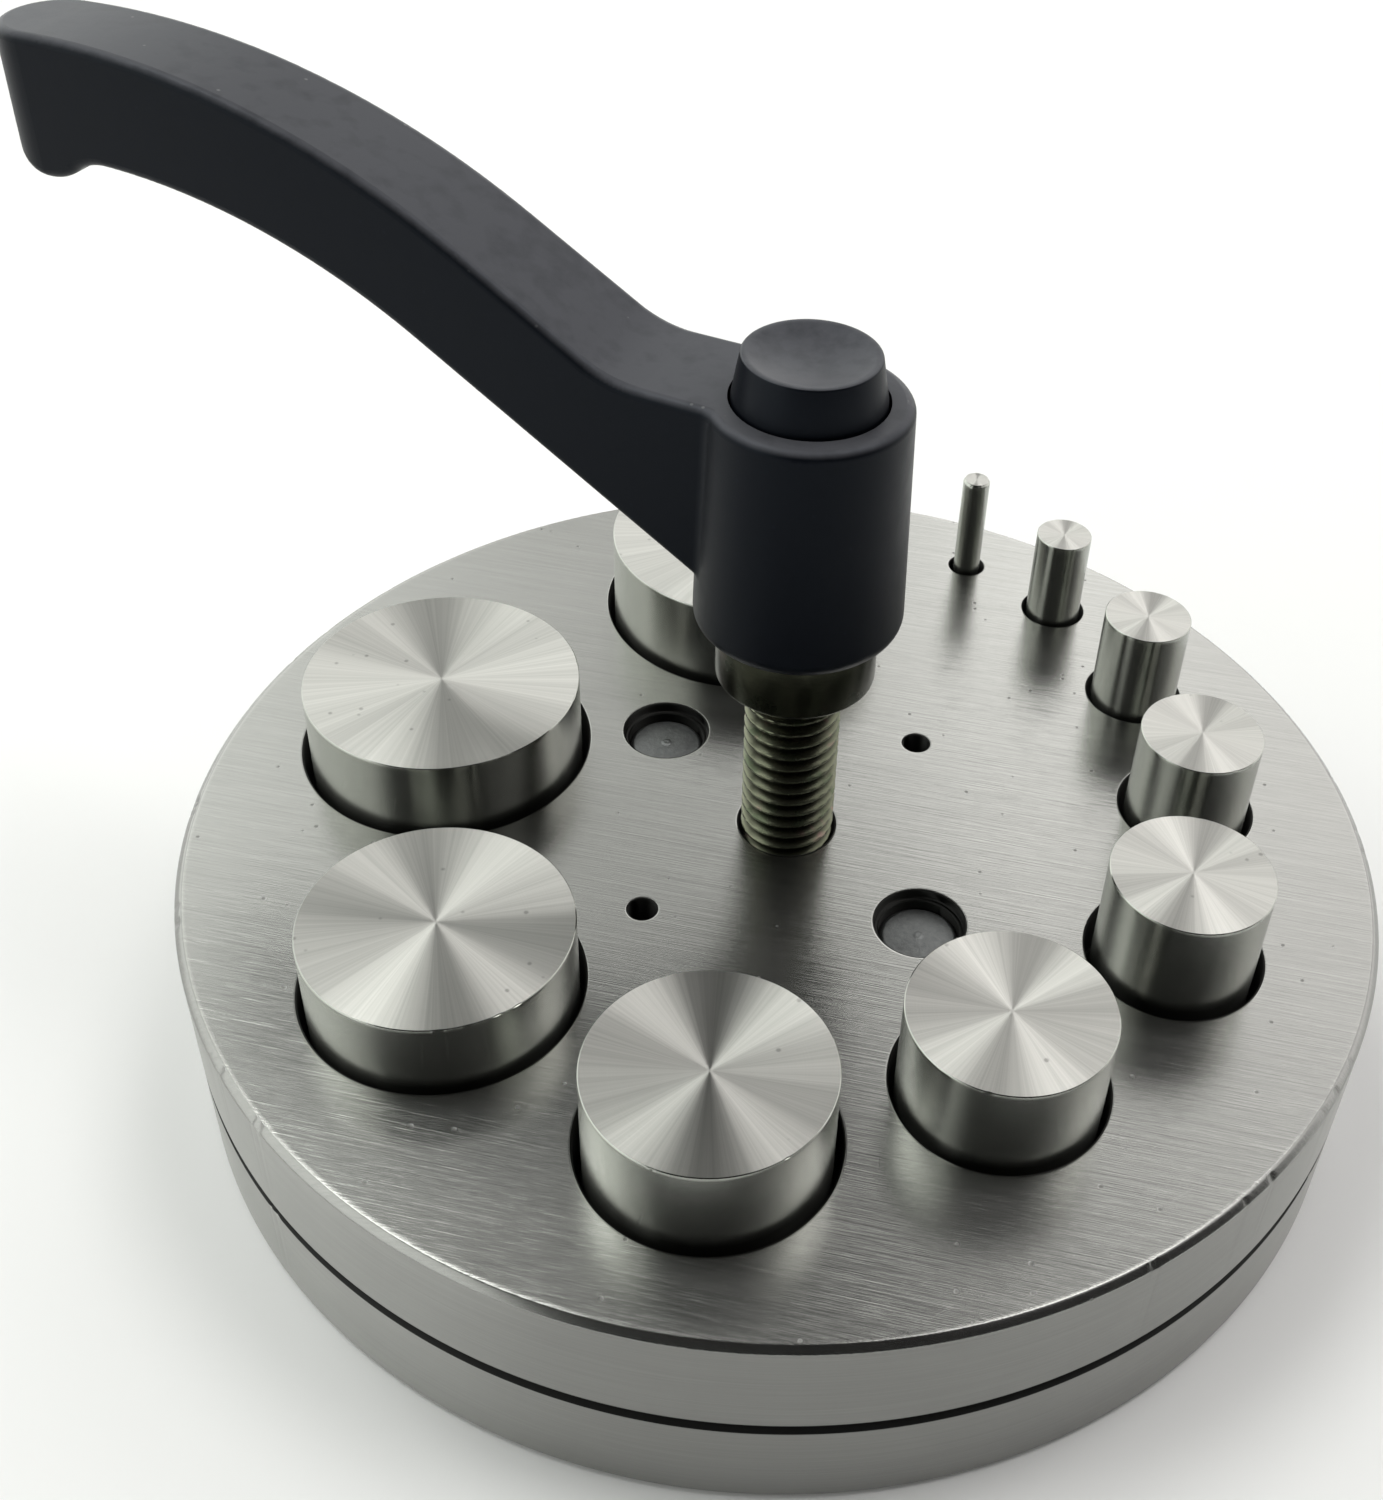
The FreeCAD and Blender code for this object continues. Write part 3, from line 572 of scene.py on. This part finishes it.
def black_casting(settings):
    """Fine matt black powder coat, painted greyer where it faces up, a painted sheen and dust, with
    pale flecks there.
    """
    made, recipe = material("black_casting")
    spot = recipe.place()
    grain = recipe.noise(spot, 5.0, 3.0, 0.6)
    swell = recipe.noise(spot, 0.45, 3.0, 0.5)
    dust = recipe.flecks(spot, 0.9, 0.05)
    tone = 0.80 + swell * 0.4 + dust * 0.8
    # Painted sheen and dust: faces that look up are painted greyer, for the light they catch from
    # above and the dust on them.
    sheen_and_dust = recipe.step(recipe.upward(), 0.35, 0.95) * (0.5 + swell)
    coat = recipe.tint(rgba(settings.coat_colour), tone)
    colour = recipe.mix(sheen_and_dust, coat, rgba(settings.sheen_and_dust_colour))
    colour = recipe.mix(recipe.flecks(spot, 1.0, 0.05) * sheen_and_dust * 0.6, colour, grey(0.20))
    rough = 0.30 + swell * 0.12 + grain * 0.06
    normal = recipe.bump(swell, 0.10, 0.10 * MM, recipe.bump(grain, 0.14, 0.03 * MM))
    recipe.surface(
        Base_Color=colour, Metallic=0.0, Roughness=rough, Normal=normal,
        Specular_IOR_Level=0.125, Specular_Tint=BLUISH)
    return made


def black_plastic(settings):
    """Moulded black plastic with a fine eroded texture, painted greyer where it faces up, a painted
    sheen and dust.
    """
    made, recipe = material("black_plastic")
    spot = recipe.place()
    grain = recipe.noise(spot, 7.0, 3.0, 0.6)
    scuff = recipe.noise(spot, 0.6, 4.0, 0.6)
    # Painted sheen and dust: faces that look up are painted greyer, for the light they catch from
    # above and the dust on them.
    sheen_and_dust = recipe.step(recipe.upward(), 0.55, 0.95) * (0.4 + scuff)
    colour = recipe.mix(sheen_and_dust, rgba(settings.button_colour), rgba(settings.sheen_and_dust_colour))
    normal = recipe.bump(grain, 0.16, 0.02 * MM)
    recipe.surface(
        Base_Color=colour, Metallic=0.0, Roughness=0.32 + scuff * 0.14, Normal=normal,
        Specular_IOR_Level=0.14, Specular_Tint=BLUISH)
    return made


# Sizes and colours that a user would change

def colour_property(name, description, default):
    return FloatVectorProperty(
        name=name, description=description, subtype="COLOR", size=3, min=0.0, max=1.0,
        default=default)


def length_property(name, description, default):
    return FloatProperty(
        name=name, description=description, subtype="DISTANCE", unit="LENGTH", min=0.0,
        default=default)


class CutterPlates(bpy.types.PropertyGroup):
    """Edges and holes of the two plates."""
    edge: length_property("Rim chamfer", "Width of the chamfer round both plates", 0.65 * MM)
    hole_break: length_property("Hole edge", "Break of the edges of the holes", 0.12 * MM)
    relief_depth: length_property(
        "Relief depth", "Depth of the wide part of the punch guides", 6.0 * MM)
    nick_depth: length_property("Nick depth", "Depth of the dents in the top rim", 0.10 * MM)
    nick_count: IntProperty(
        name="Nicks", description="Number of dents in the top rim", min=0, default=46)


class CutterParts(bpy.types.PropertyGroup):
    """Edges and details of the turned parts."""
    punch_edge: length_property("Punch edge", "Break of the top edge of a punch", 0.10 * MM)
    crest: length_property("Thread radius", "Radius over the crests of the screw", 4.75 * MM)
    pitch: length_property("Thread pitch", "Distance from crest to crest", 1.5 * MM)
    thread_depth: length_property("Thread depth", "Depth from crest to root", 0.85 * MM)
    wire: length_property("Spring wire", "Diameter of the return spring's wire", 0.8 * MM)
    coils: FloatProperty(
        name="Coils", description="Turns of the return spring", min=1.0, default=4.0)


class CutterFinish(bpy.types.PropertyGroup):
    """Colours of the finishes, and the grain of the plates."""
    grain_angle: FloatProperty(
        name="Grain angle", description="Turn of the ground lines, in degrees", default=9.0)
    plate_colour: colour_property("Plates", "Ground steel of the plates", (0.41, 0.41, 0.395))
    punch_end_colour: colour_property(
        "Punch ends", "Faced ends of the punches", (0.49, 0.485, 0.462))
    punch_side_colour: colour_property(
        "Punch sides", "Ground sides of the punches", (0.37, 0.38, 0.35))
    dowel_colour: colour_property("Dowels", "Dull end faces of the dowels", (0.15, 0.155, 0.155))
    plating_colour: colour_property(
        "Plating", "Passivated plating of the screw", (0.115, 0.12, 0.085))
    wire_colour: colour_property("Wire", "Spring and ring wire", (0.50, 0.50, 0.50))
    coat_colour: colour_property("Powder coat", "Black coat of the lever", (0.0015, 0.0022, 0.0042))
    # Painted sheen and dust: the grey that upward faces of the lever and the button are painted.
    sheen_and_dust_colour: colour_property("Dust", "Powder coat where dust lies on it", (0.069, 0.070, 0.079))
    button_colour: colour_property(
        "Button", "Black plastic of the button", (0.0016, 0.0022, 0.0042))


class CutterStage(bpy.types.PropertyGroup):
    """Floor, light and camera."""
    floor_radius: length_property("Floor radius", "Radius of the round floor", 2.5)
    floor_colour: colour_property("Floor", "Colour of the floor", (0.87, 0.87, 0.87))
    light: FloatProperty(
        name="Light", description="Strength of the surrounding light", min=0.0, default=1.0)
    focal: length_property("Focal length", "Focal length on a 36 mm sensor", 44.63 * MM)


# Pieces

def hole_rows(column, top, bottom, width):
    """Profile of a hole from its top edge down: (radius, height) steps with broken edges.

    A hole whose last floor is above the bottom of the plate is blind.
    """
    mouth = column[0][0]
    rows = [(mouth + 3 * width, top), (mouth + width, top), (mouth, top - width)]
    for (radius, floor), (narrow, _) in zip(column[:-1], column[1:]):
        rows += [(radius, floor), (narrow, floor)]
    last, floor = column[-1]
    if floor > bottom:
        rows += [(last, floor), (0.0, floor)]
        return softened(rows, width, 2)
    rows += [(last, bottom + width), (last + width, bottom), (last + 3 * width, bottom)]
    return softened(rows, width, 2)


def plate_patches(bottom, top, holes, settings, nick_count, groove):
    """A round plate: its rim and holes turned, and its two flats netted between their rings.

    The rim climbs in strips: one of the underside, the lower chamfer, the wall, the top chamfer
    and one of the top. Four strips from the one before the number groove are the chamfer on the
    side of the groove between the plates. The nicks dent the outer edge of the top chamfer.
    """
    _, radius = disc_of("lower_die_plate")
    edge = settings.edge / MM
    width = settings.hole_break / MM
    columns = 1440
    margin = 0.5
    rim = softened([
        (radius - edge - margin, bottom),
        (radius - edge, bottom),
        (radius, bottom + edge),
        (radius, top - edge),
        (radius - edge, top),
        (radius - edge - margin, top),
    ], 0.14)
    nick_depth = settings.nick_depth / MM
    dent = nicks(columns, seed=7, count=nick_count, depth=nick_depth, width=0.005)
    rows = []
    for row, (across, height) in enumerate(rim):
        drop = dent if 7 < row < 11 else 0.0
        rows.append((across - drop, height - drop * 0.5))
    strips = np.full(len(rows) - 1, WALL)
    strips[[0, -1]] = FLAT
    strips[8:12] = CHAMFER
    strips[groove - 1:groove + 3] = GROOVE
    outer = turned(rows, AXIS, columns, np.repeat(strips, columns))
    patches = [outer]
    upper_rings, lower_rings = [], []
    for centre, column in holes:
        profile = hole_rows(column, top, bottom, width)
        through = profile[-1][0] > 0
        count = int(min(320, max(56, column[0][0] * 18)))
        strips = np.full(len(profile) - 1, HOLE)
        strips[0] = FLAT
        if through:
            strips[-1] = FLAT
        patch = turned(profile, centre, count, np.repeat(strips, count))
        patches.append(patch)
        middle = np.array(centre)
        upper_rings.append((ring_xy(patch, 0, count), middle, profile[0][0]))
        if through:
            last_row = ring_xy(patch, len(profile) - 1, count)
            lower_rings.append((last_row, middle, profile[-1][0]))
    patches.append(pierced_face(ring_xy(outer, len(rows) - 1, columns), upper_rings, top, True))
    patches.append(pierced_face(ring_xy(outer, 0, columns), lower_rings, bottom, False))
    return patches


def jack_places():
    """Places of the two small through holes."""
    spot = np.array([math.cos(JACK_ANGLE), math.sin(JACK_ANGLE)]) * JACK_ORBIT
    return [spot, -spot]


class CUTTER_OT_plates(bpy.types.Operator):
    """Build the die plate and the guide plate with their holes"""
    bl_idname = "cutter.plates"
    bl_label = "Plates"

    def execute(self, context):
        sizes = context.scene.cutter_plates
        steel = ground_steel(context.scene.cutter_finish)
        low, high = box_mm("lower_die_plate")
        split = high[2]
        deck = box_mm("upper_guide_plate")[1][2]
        screw_radius = context.scene.cutter_parts.crest / MM + SCREW_FIT
        shelf, recess = deck - sizes.relief_depth / MM, deck - RECESS_DEPTH
        upper, lower = [], []
        for name, relief in zip(PUNCHES, RELIEF_WIDTHS):
            centre, radius = disc_of(name)
            upper.append((centre, [(radius + relief, shelf), (radius + GUIDE_FIT, split)]))
            lower.append((centre, [(radius + DIE_FIT, 0.0)]))
        for name in DOWELS:
            centre, radius = disc_of(name)
            upper.append((centre, [(radius + RECESS_FIT, recess), (radius + GUIDE_FIT, split)]))
            lower.append((centre, [(radius + SEAT_FIT, box_mm(name)[0][2])]))
        for centre in jack_places():
            upper.append((centre, [(JACK_RADIUS, split)]))
            lower.append((centre, [(JACK_RADIUS, 0.0)]))
        upper.append((AXIS, [(screw_radius, split)]))
        lower.append((AXIS, [(screw_radius, SCREW_FLOOR)]))
        top_patches = plate_patches(split, deck, upper, sizes, sizes.nick_count, 3)
        top_plate = mesh_piece("guide_plate_ground", top_patches)
        base_patches = plate_patches(low[2], split, lower, sizes, sizes.nick_count // 4, 9)
        base_plate = mesh_piece("die_plate_ground", base_patches)
        finish_piece(top_plate, steel, "guide_plate", "plate_steel", "upper_guide_plate")
        finish_piece(base_plate, steel, "die_base", "plate_steel", "lower_die_plate")
        return {"FINISHED"}


class CUTTER_OT_punches(bpy.types.Operator):
    """Build the ten loose punches"""
    bl_idname = "cutter.punches"
    bl_label = "Punches"

    def execute(self, context):
        steel = punch_steel(context.scene.cutter_finish)
        end_zone, side_zone = 1.0, 0.0
        foot_break, round_tip, below = 0.05, 0.4, 0.4
        for number, name in enumerate(PUNCHES, start=1):
            low, high = box_mm(name)
            centre, radius = disc_of(name)
            edge = round_tip if number == 1 else context.scene.cutter_parts.punch_edge / MM
            columns = int(max(96, min(360, radius * 22)))
            dent = nicks(columns, seed=20 + number, count=5, depth=0.07, width=0.02)
            sag, rise = FACE_SHAPES.get(name, FACE_SHAPE)
            brim = high[2] - rise
            foot_rows = [(0.0, low[2]), (radius - foot_break, low[2])]
            foot = turned(foot_rows, centre, columns, end_zone)
            side_rows = softened([
                (radius - foot_break, low[2]),
                (radius, low[2] + foot_break),
                (radius, brim - edge - below),
                (radius, brim - edge),
            ], foot_break)
            side = turned(side_rows, centre, columns, side_zone)
            crown = softened([
                (radius, brim - edge),
                (radius - 0.1 * edge, brim - 0.7 * edge),
                (radius - edge, brim),
            ], 0.4 * edge)
            crown = [(across - dent * min(1.0, row), height)
                     for row, (across, height) in enumerate(crown)]
            shoulder = turned(crown, centre, columns, side_zone)
            share = np.linspace(1.0, 0.0, 9)[1:]
            inner = [(radius * part, brim + (rise - sag) * (1 - part ** 2)) for part in share]
            face = turned([crown[-1]] + inner, centre, columns, end_zone)
            piece = mesh_piece(name + "_turned", [foot, side, shoulder, face])
            add_local(piece, (*centre, high[2]))
            finish_piece(piece, steel, name + "_body", "punch_steel", name)
        return {"FINISHED"}


class CUTTER_OT_dowels(bpy.types.Operator):
    """Build the two guide dowels with the small burr in the middle of their ends"""
    bl_idname = "cutter.dowels"
    bl_label = "Dowels"

    def execute(self, context):
        steel = dowel_steel(context.scene.cutter_finish)
        edge = 0.45
        burr = ((0.55, 0.0), (0.30, 0.10), (0.0, 0.06))
        for name in DOWELS:
            low, high = box_mm(name)
            centre, radius = disc_of(name)
            rows = softened([
                (0.0, low[2]),
                (radius - edge, low[2]),
                (radius, low[2] + edge),
                (radius, high[2] - edge),
                (radius - edge, high[2]),
                *((across, high[2] + lift) for across, lift in burr),
            ], 0.15)
            piece = mesh_piece(name + "_turned", [turned(rows, centre, 160)])
            finish_piece(piece, steel, "die_base", "dowel_steel", name)
        return {"FINISHED"}


class CUTTER_OT_screw(bpy.types.Operator):
    """Build the clamping screw: thread, collar, journal and hexagon socket"""
    bl_idname = "cutter.screw"
    bl_label = "Screw"

    def execute(self, context):
        sizes = context.scene.cutter_parts
        crest, pitch, depth = sizes.crest / MM, sizes.pitch / MM, sizes.thread_depth / MM
        columns = 96
        tip = 22.0
        top = box_mm("threaded_screw")[1][2]
        collar, seat, slot, socket_floor = top - 14.25, top - 7.25, top - 4.58, top - 9.0
        wide, bevel, journal, slot_root, slot_width = 7.75, 0.9, 6.95, 6.42, 1.16
        mouth, half_flats, step = 3.2, 2.5, 0.06
        angle = 2 * math.pi * np.arange(columns) / columns
        levels = np.arange(tip, collar - 0.02, step)
        thread = [self.thread_row(level, angle, crest, pitch, depth, tip, collar)
                  for level in levels]
        bend = (angle + math.pi / 6) % (math.pi / 3) - math.pi / 6
        flats = half_flats / np.cos(bend)
        body = softened([
            (crest - 0.2, collar),
            (wide - bevel, collar),
            (wide, collar + bevel),
            (wide, seat),
            (journal, seat),
            (journal, slot),
            (slot_root, slot),
            (slot_root, slot + slot_width),
            (journal, slot + slot_width),
            (journal, top),
            (mouth, top),
        ], 0.12)
        rows = [(0.0, tip)] + thread + body
        rows += [(flats, top), (flats, socket_floor), (0.0, socket_floor)]
        patch = turned(rows, AXIS, columns)
        piece = mesh_piece("clamping_screw_cut", [patch], smooth_angle=40)
        steel = plated_steel(context.scene.cutter_finish)
        finish_piece(piece, steel, "clamp_screw", "plated_steel", "threaded_screw")
        dress("thrust_washer", steel)
        dress("toothed_coupling", steel)
        return {"FINISHED"}

    def thread_row(self, level, angle, crest, pitch, depth, tip, collar):
        """One level of the thread.

        The radius is crest - depth * v, where v climbs from 0 on the crest to 1 at the root with
        the distance along the helix: |(level / pitch - angle / turn) mod 1 - 0.5| * 2. The groove
        fades out before the collar, and the tip is chamfered.
        """
        crest_share, flank_share = 0.14, 0.72
        neck, fade_length, chamfer = 0.9, 0.8, 0.9
        phase = (level / pitch - angle / (2 * math.pi)) % 1.0
        wave = np.clip((np.abs(phase - 0.5) * 2 - crest_share) / flank_share, 0, 1)
        fade = np.clip((collar - neck - level) / fade_length, 0, 1)
        start = np.minimum(crest, crest - chamfer + (level - tip))
        return np.minimum(crest - depth * wave * fade, start), level


class CUTTER_OT_lever(bpy.types.Operator):
    """Coat the cast lever of the frame"""
    bl_idname = "cutter.lever"
    bl_label = "Lever"

    def execute(self, context):
        dress("lever_arm", black_casting(context.scene.cutter_finish))
        return {"FINISHED"}


class CUTTER_OT_button(bpy.types.Operator):
    """Build the push button, its top dished to part of a ball"""
    bl_idname = "cutter.button"
    bl_label = "Button"

    def execute(self, context):
        low, high = box_mm("release_button")
        base, rim, skirt = 6.9, 6.15, 2.0
        lip, dip, bore, bore_depth = 0.5, 1.0, 2.01, 3.6
        spread = rim - lip
        ball = (spread ** 2 + dip ** 2) / (2 * dip)
        dish = [(across, high[2] - dip + ball - math.sqrt(ball ** 2 - across ** 2))
                for across in np.linspace(spread, 0.0, 14)]
        rows = [
            (0.0, low[2] + bore_depth),
            (bore, low[2] + bore_depth),
            (bore, low[2]),
            (base, low[2]),
            (base, low[2] + skirt),
            (rim, high[2]),
        ]
        profile = softened(rows + dish, 0.3, 5)
        piece = mesh_piece("push_button", [turned(profile, AXIS, 192)])
        plastic = black_plastic(context.scene.cutter_finish)
        finish_piece(piece, plastic, "release", "black_plastic", "release_button")
        return {"FINISHED"}


class CUTTER_OT_spring(bpy.types.Operator):
    """Build the return spring as a wound wire, and finish the retaining ring"""
    bl_idname = "cutter.spring"
    bl_label = "Spring"

    def execute(self, context):
        sizes = context.scene.cutter_parts
        low, high = box_mm("return_spring")
        wire = sizes.wire / MM / 2
        coil = (high[0] - low[0]) / 2 - wire
        steel = spring_steel(context.scene.cutter_finish)
        helix = self.wound(coil, wire, low[2] + wire, high[2] - wire, sizes.coils)
        piece = mesh_piece("wound_spring", [helix])
        finish_piece(piece, steel, "clamp_screw", "spring_steel", "return_spring")
        foot, length = low[2] * MM, (high[2] - low[2]) * MM
        travel = next(joint["range_m"][0] for joint in frame["joints"]
                      if joint["name"] == "button_press")
        1 + travel / length
        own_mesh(piece)
        dress("retaining_ring", steel)
        return {"FINISHED"}

    def wound(self, coil, wire, bottom, top, coils):
        """A round wire along a helix.

        The middle of the wire is (R cos a, R sin a, h(a)), and a point of its skin is that plus
        wire * (cos b * outward + sin b * up), where up is square to the wire's direction.
        """
        count, around = int(48 * coils), 14
        turn = np.linspace(0, 2 * math.pi * coils, count)
        climb = np.linspace(bottom, top, count)
        middle = np.stack([coil * np.cos(turn), coil * np.sin(turn), climb], axis=-1)
        outward = np.stack([np.cos(turn), np.sin(turn), np.zeros(count)], axis=-1)
        way = np.gradient(middle, axis=0)
        way /= np.linalg.norm(way, axis=1)[:, None]
        up = np.cross(outward, way)
        b = -2 * math.pi * np.arange(around) / around
        cosine, sine = np.cos(b)[:, None], np.sin(b)[:, None]
        skin = middle[:, None] + wire * (cosine * outward[:, None] + sine * up[:, None])
        first, last = (np.repeat(end[None], around, axis=0)[None] for end in middle[[0, -1]])
        return Patch(np.concatenate([first, skin, last]), ring_faces(count + 2, around), WALL)


class CUTTER_OT_stage(bpy.types.Operator):
    """Set the floor, the light and the camera at the viewing angle of the photograph"""
    bl_idname = "cutter.stage"
    bl_label = "Stage"

    def execute(self, context):
        settings = context.scene.cutter_stage
        self.floor(settings)
        self.light(context.scene, settings)
        self.camera(context.scene, settings)
        context.scene.view_settings.view_transform = "Standard"
        return {"FINISHED"}

    def floor(self, settings):
        """A pale round card under the object."""
        radius = settings.floor_radius / MM
        disc = turned([(radius, 0.0), (radius / 2, 0.0), (0.0, 0.0)], AXIS, 128)
        floor = mesh_piece("floor", [disc])
        made, recipe = material("floor_card")
        cloud = recipe.noise(recipe.place(), 0.004, 2.0, 0.5)
        card = recipe.tint(rgba(settings.floor_colour), 0.98 + cloud * 0.04)
        recipe.surface(Base_Color=card, Roughness=0.9, Specular_IOR_Level=0.2)
        floor.data.materials.append(made)

    def light(self, scene, settings):
        """A white tent with a dark gap, a dark corner and two soft lamps over the object.

        The gap is in the middle, in front and overhead, where 2.2 max(y, 0) + 3 |x| of the
        direction is low. The tent is brighter at both sides and at the back, and darker high up.
        At the back it has a dark band and beside that a light one. The light is a little green
        on the left and a little red on the right. The camera sees plain white.
        """
        world = bpy.data.worlds.new("surroundings")
        scene.world = world
        world.use_nodes = True
        recipe = Recipe(world.node_tree)
        way = recipe.node("TexCoord", {}, output=0)
        x, y, z = recipe.parts(way)
        sideways = recipe.math("ABSOLUTE", x)
        behind = recipe.math("MAXIMUM", y, 0.0)
        gap = recipe.step(0 - behind * 2.2 - sideways * 3, -1.80, -1.40)
        corner_way, lamp_ways = (0.82, -0.55, 0.15), ((0.35, 0.16, 0.92), (-0.38, 0.16, 0.91))
        toward_corner = recipe.vector_math("DOT_PRODUCT", way, corner_way, output=1)
        corner = recipe.step(toward_corner, 0.70, 0.90)
        shut = 1 - (1 - gap) * (1 - corner)
        left = recipe.step(0 - x, 0.30, 0.80) * 0.85
        right = recipe.step(x, 0.5, 0.9) * 0.60
        back = recipe.step(y, 0.35, 0.75) * 0.55
        high_up = recipe.step(z, 0.66, 0.86) * 0.75
        tent = 1.05 + left + right + back - high_up
        from_dark = recipe.math("ABSOLUTE", x + 0.12)
        from_light = recipe.math("ABSOLUTE", x - 0.10)
        tent = tent - (1 - recipe.step(from_dark, 0.04, 0.18)) * recipe.step(y, 0.55, 0.70) * 0.66
        tent = tent + (1 - recipe.step(from_light, 0.03, 0.12)) * recipe.step(y, 0.64, 0.74) * 0.50
        tone = shut * 0.05 + (1 - shut) * tent
        for lamp_way in lamp_ways:
            near = recipe.vector_math("DOT_PRODUCT", way, lamp_way, output=1)
            tone = tone + recipe.step(near, 0.965, 0.985) * 6.0
        seen = recipe.node("LightPath", {}, output=0)
        greenish, reddish = (0.975, 1.0, 0.96, 1.0), (1.0, 0.985, 0.965, 1.0)
        cast = recipe.mix(recipe.step(x, -0.5, 0.5), greenish, reddish)
        colour = recipe.mix(seen, recipe.tint(cast, tone), grey(1.0))
        shader = recipe.node("Background", {0: colour, 1: settings.light})
        recipe.output(shader, "World")

    def camera(self, scene, settings):
        """A camera in front of the object, tilted down and rolled as in the photograph."""
        place = Vector((3.915, -140.631, 156.782)) * MM
        tilt, roll = 0.709218311, 0.0732183192
        data = bpy.data.cameras.new("camera")
        data.lens = settings.focal / MM
        data.sensor_width = 36.0
        data.shift_x = -0.0928
        data.shift_y = -0.0107
        data.clip_start = 0.01
        forward = Vector((0.0, math.cos(tilt), -math.sin(tilt)))
        side = Vector((1.0, 0.0, 0.0))
        up = side.cross(forward)
        right = side * math.cos(roll) + up * math.sin(roll)
        above = up * math.cos(roll) - side * math.sin(roll)
        turn = Matrix((right, above, -forward)).transposed().to_4x4()
        camera = bpy.data.objects.new("camera", data)
        scene.collection.objects.link(camera)
        camera.matrix_world = Matrix.Translation(place) @ turn
        scene.camera = camera


class CUTTER_PT_panel(bpy.types.Panel):
    """Buttons that build the pieces of the disc cutter"""
    bl_idname = "CUTTER_PT_panel"
    bl_label = "Disc Cutter"
    bl_space_type = "VIEW_3D"
    bl_region_type = "UI"
    bl_category = "Disc Cutter"

    def draw(self, context):
        for operator in OPERATORS:
            self.layout.operator(operator.bl_idname)


GROUPS = {
    "cutter_plates": CutterPlates,
    "cutter_parts": CutterParts,
    "cutter_finish": CutterFinish,
    "cutter_stage": CutterStage,
}
OPERATORS = (
    CUTTER_OT_stage,
    CUTTER_OT_plates,
    CUTTER_OT_punches,
    CUTTER_OT_dowels,
    CUTTER_OT_screw,
    CUTTER_OT_lever,
    CUTTER_OT_button,
    CUTTER_OT_spring,
)
CLASSES = (*GROUPS.values(), *OPERATORS, CUTTER_PT_panel)


def register():
    for item in CLASSES:
        bpy.utils.register_class(item)
    for name, group in GROUPS.items():
        setattr(bpy.types.Scene, name, PointerProperty(type=group))


def unregister():
    for name in GROUPS:
        delattr(bpy.types.Scene, name)
    for item in reversed(CLASSES):
        bpy.utils.unregister_class(item)


def main():
    register()
    for operator in OPERATORS:
        group, name = operator.bl_idname.split(".")
        getattr(getattr(bpy.ops, group), name)()


if __name__ == "__main__":
    main()
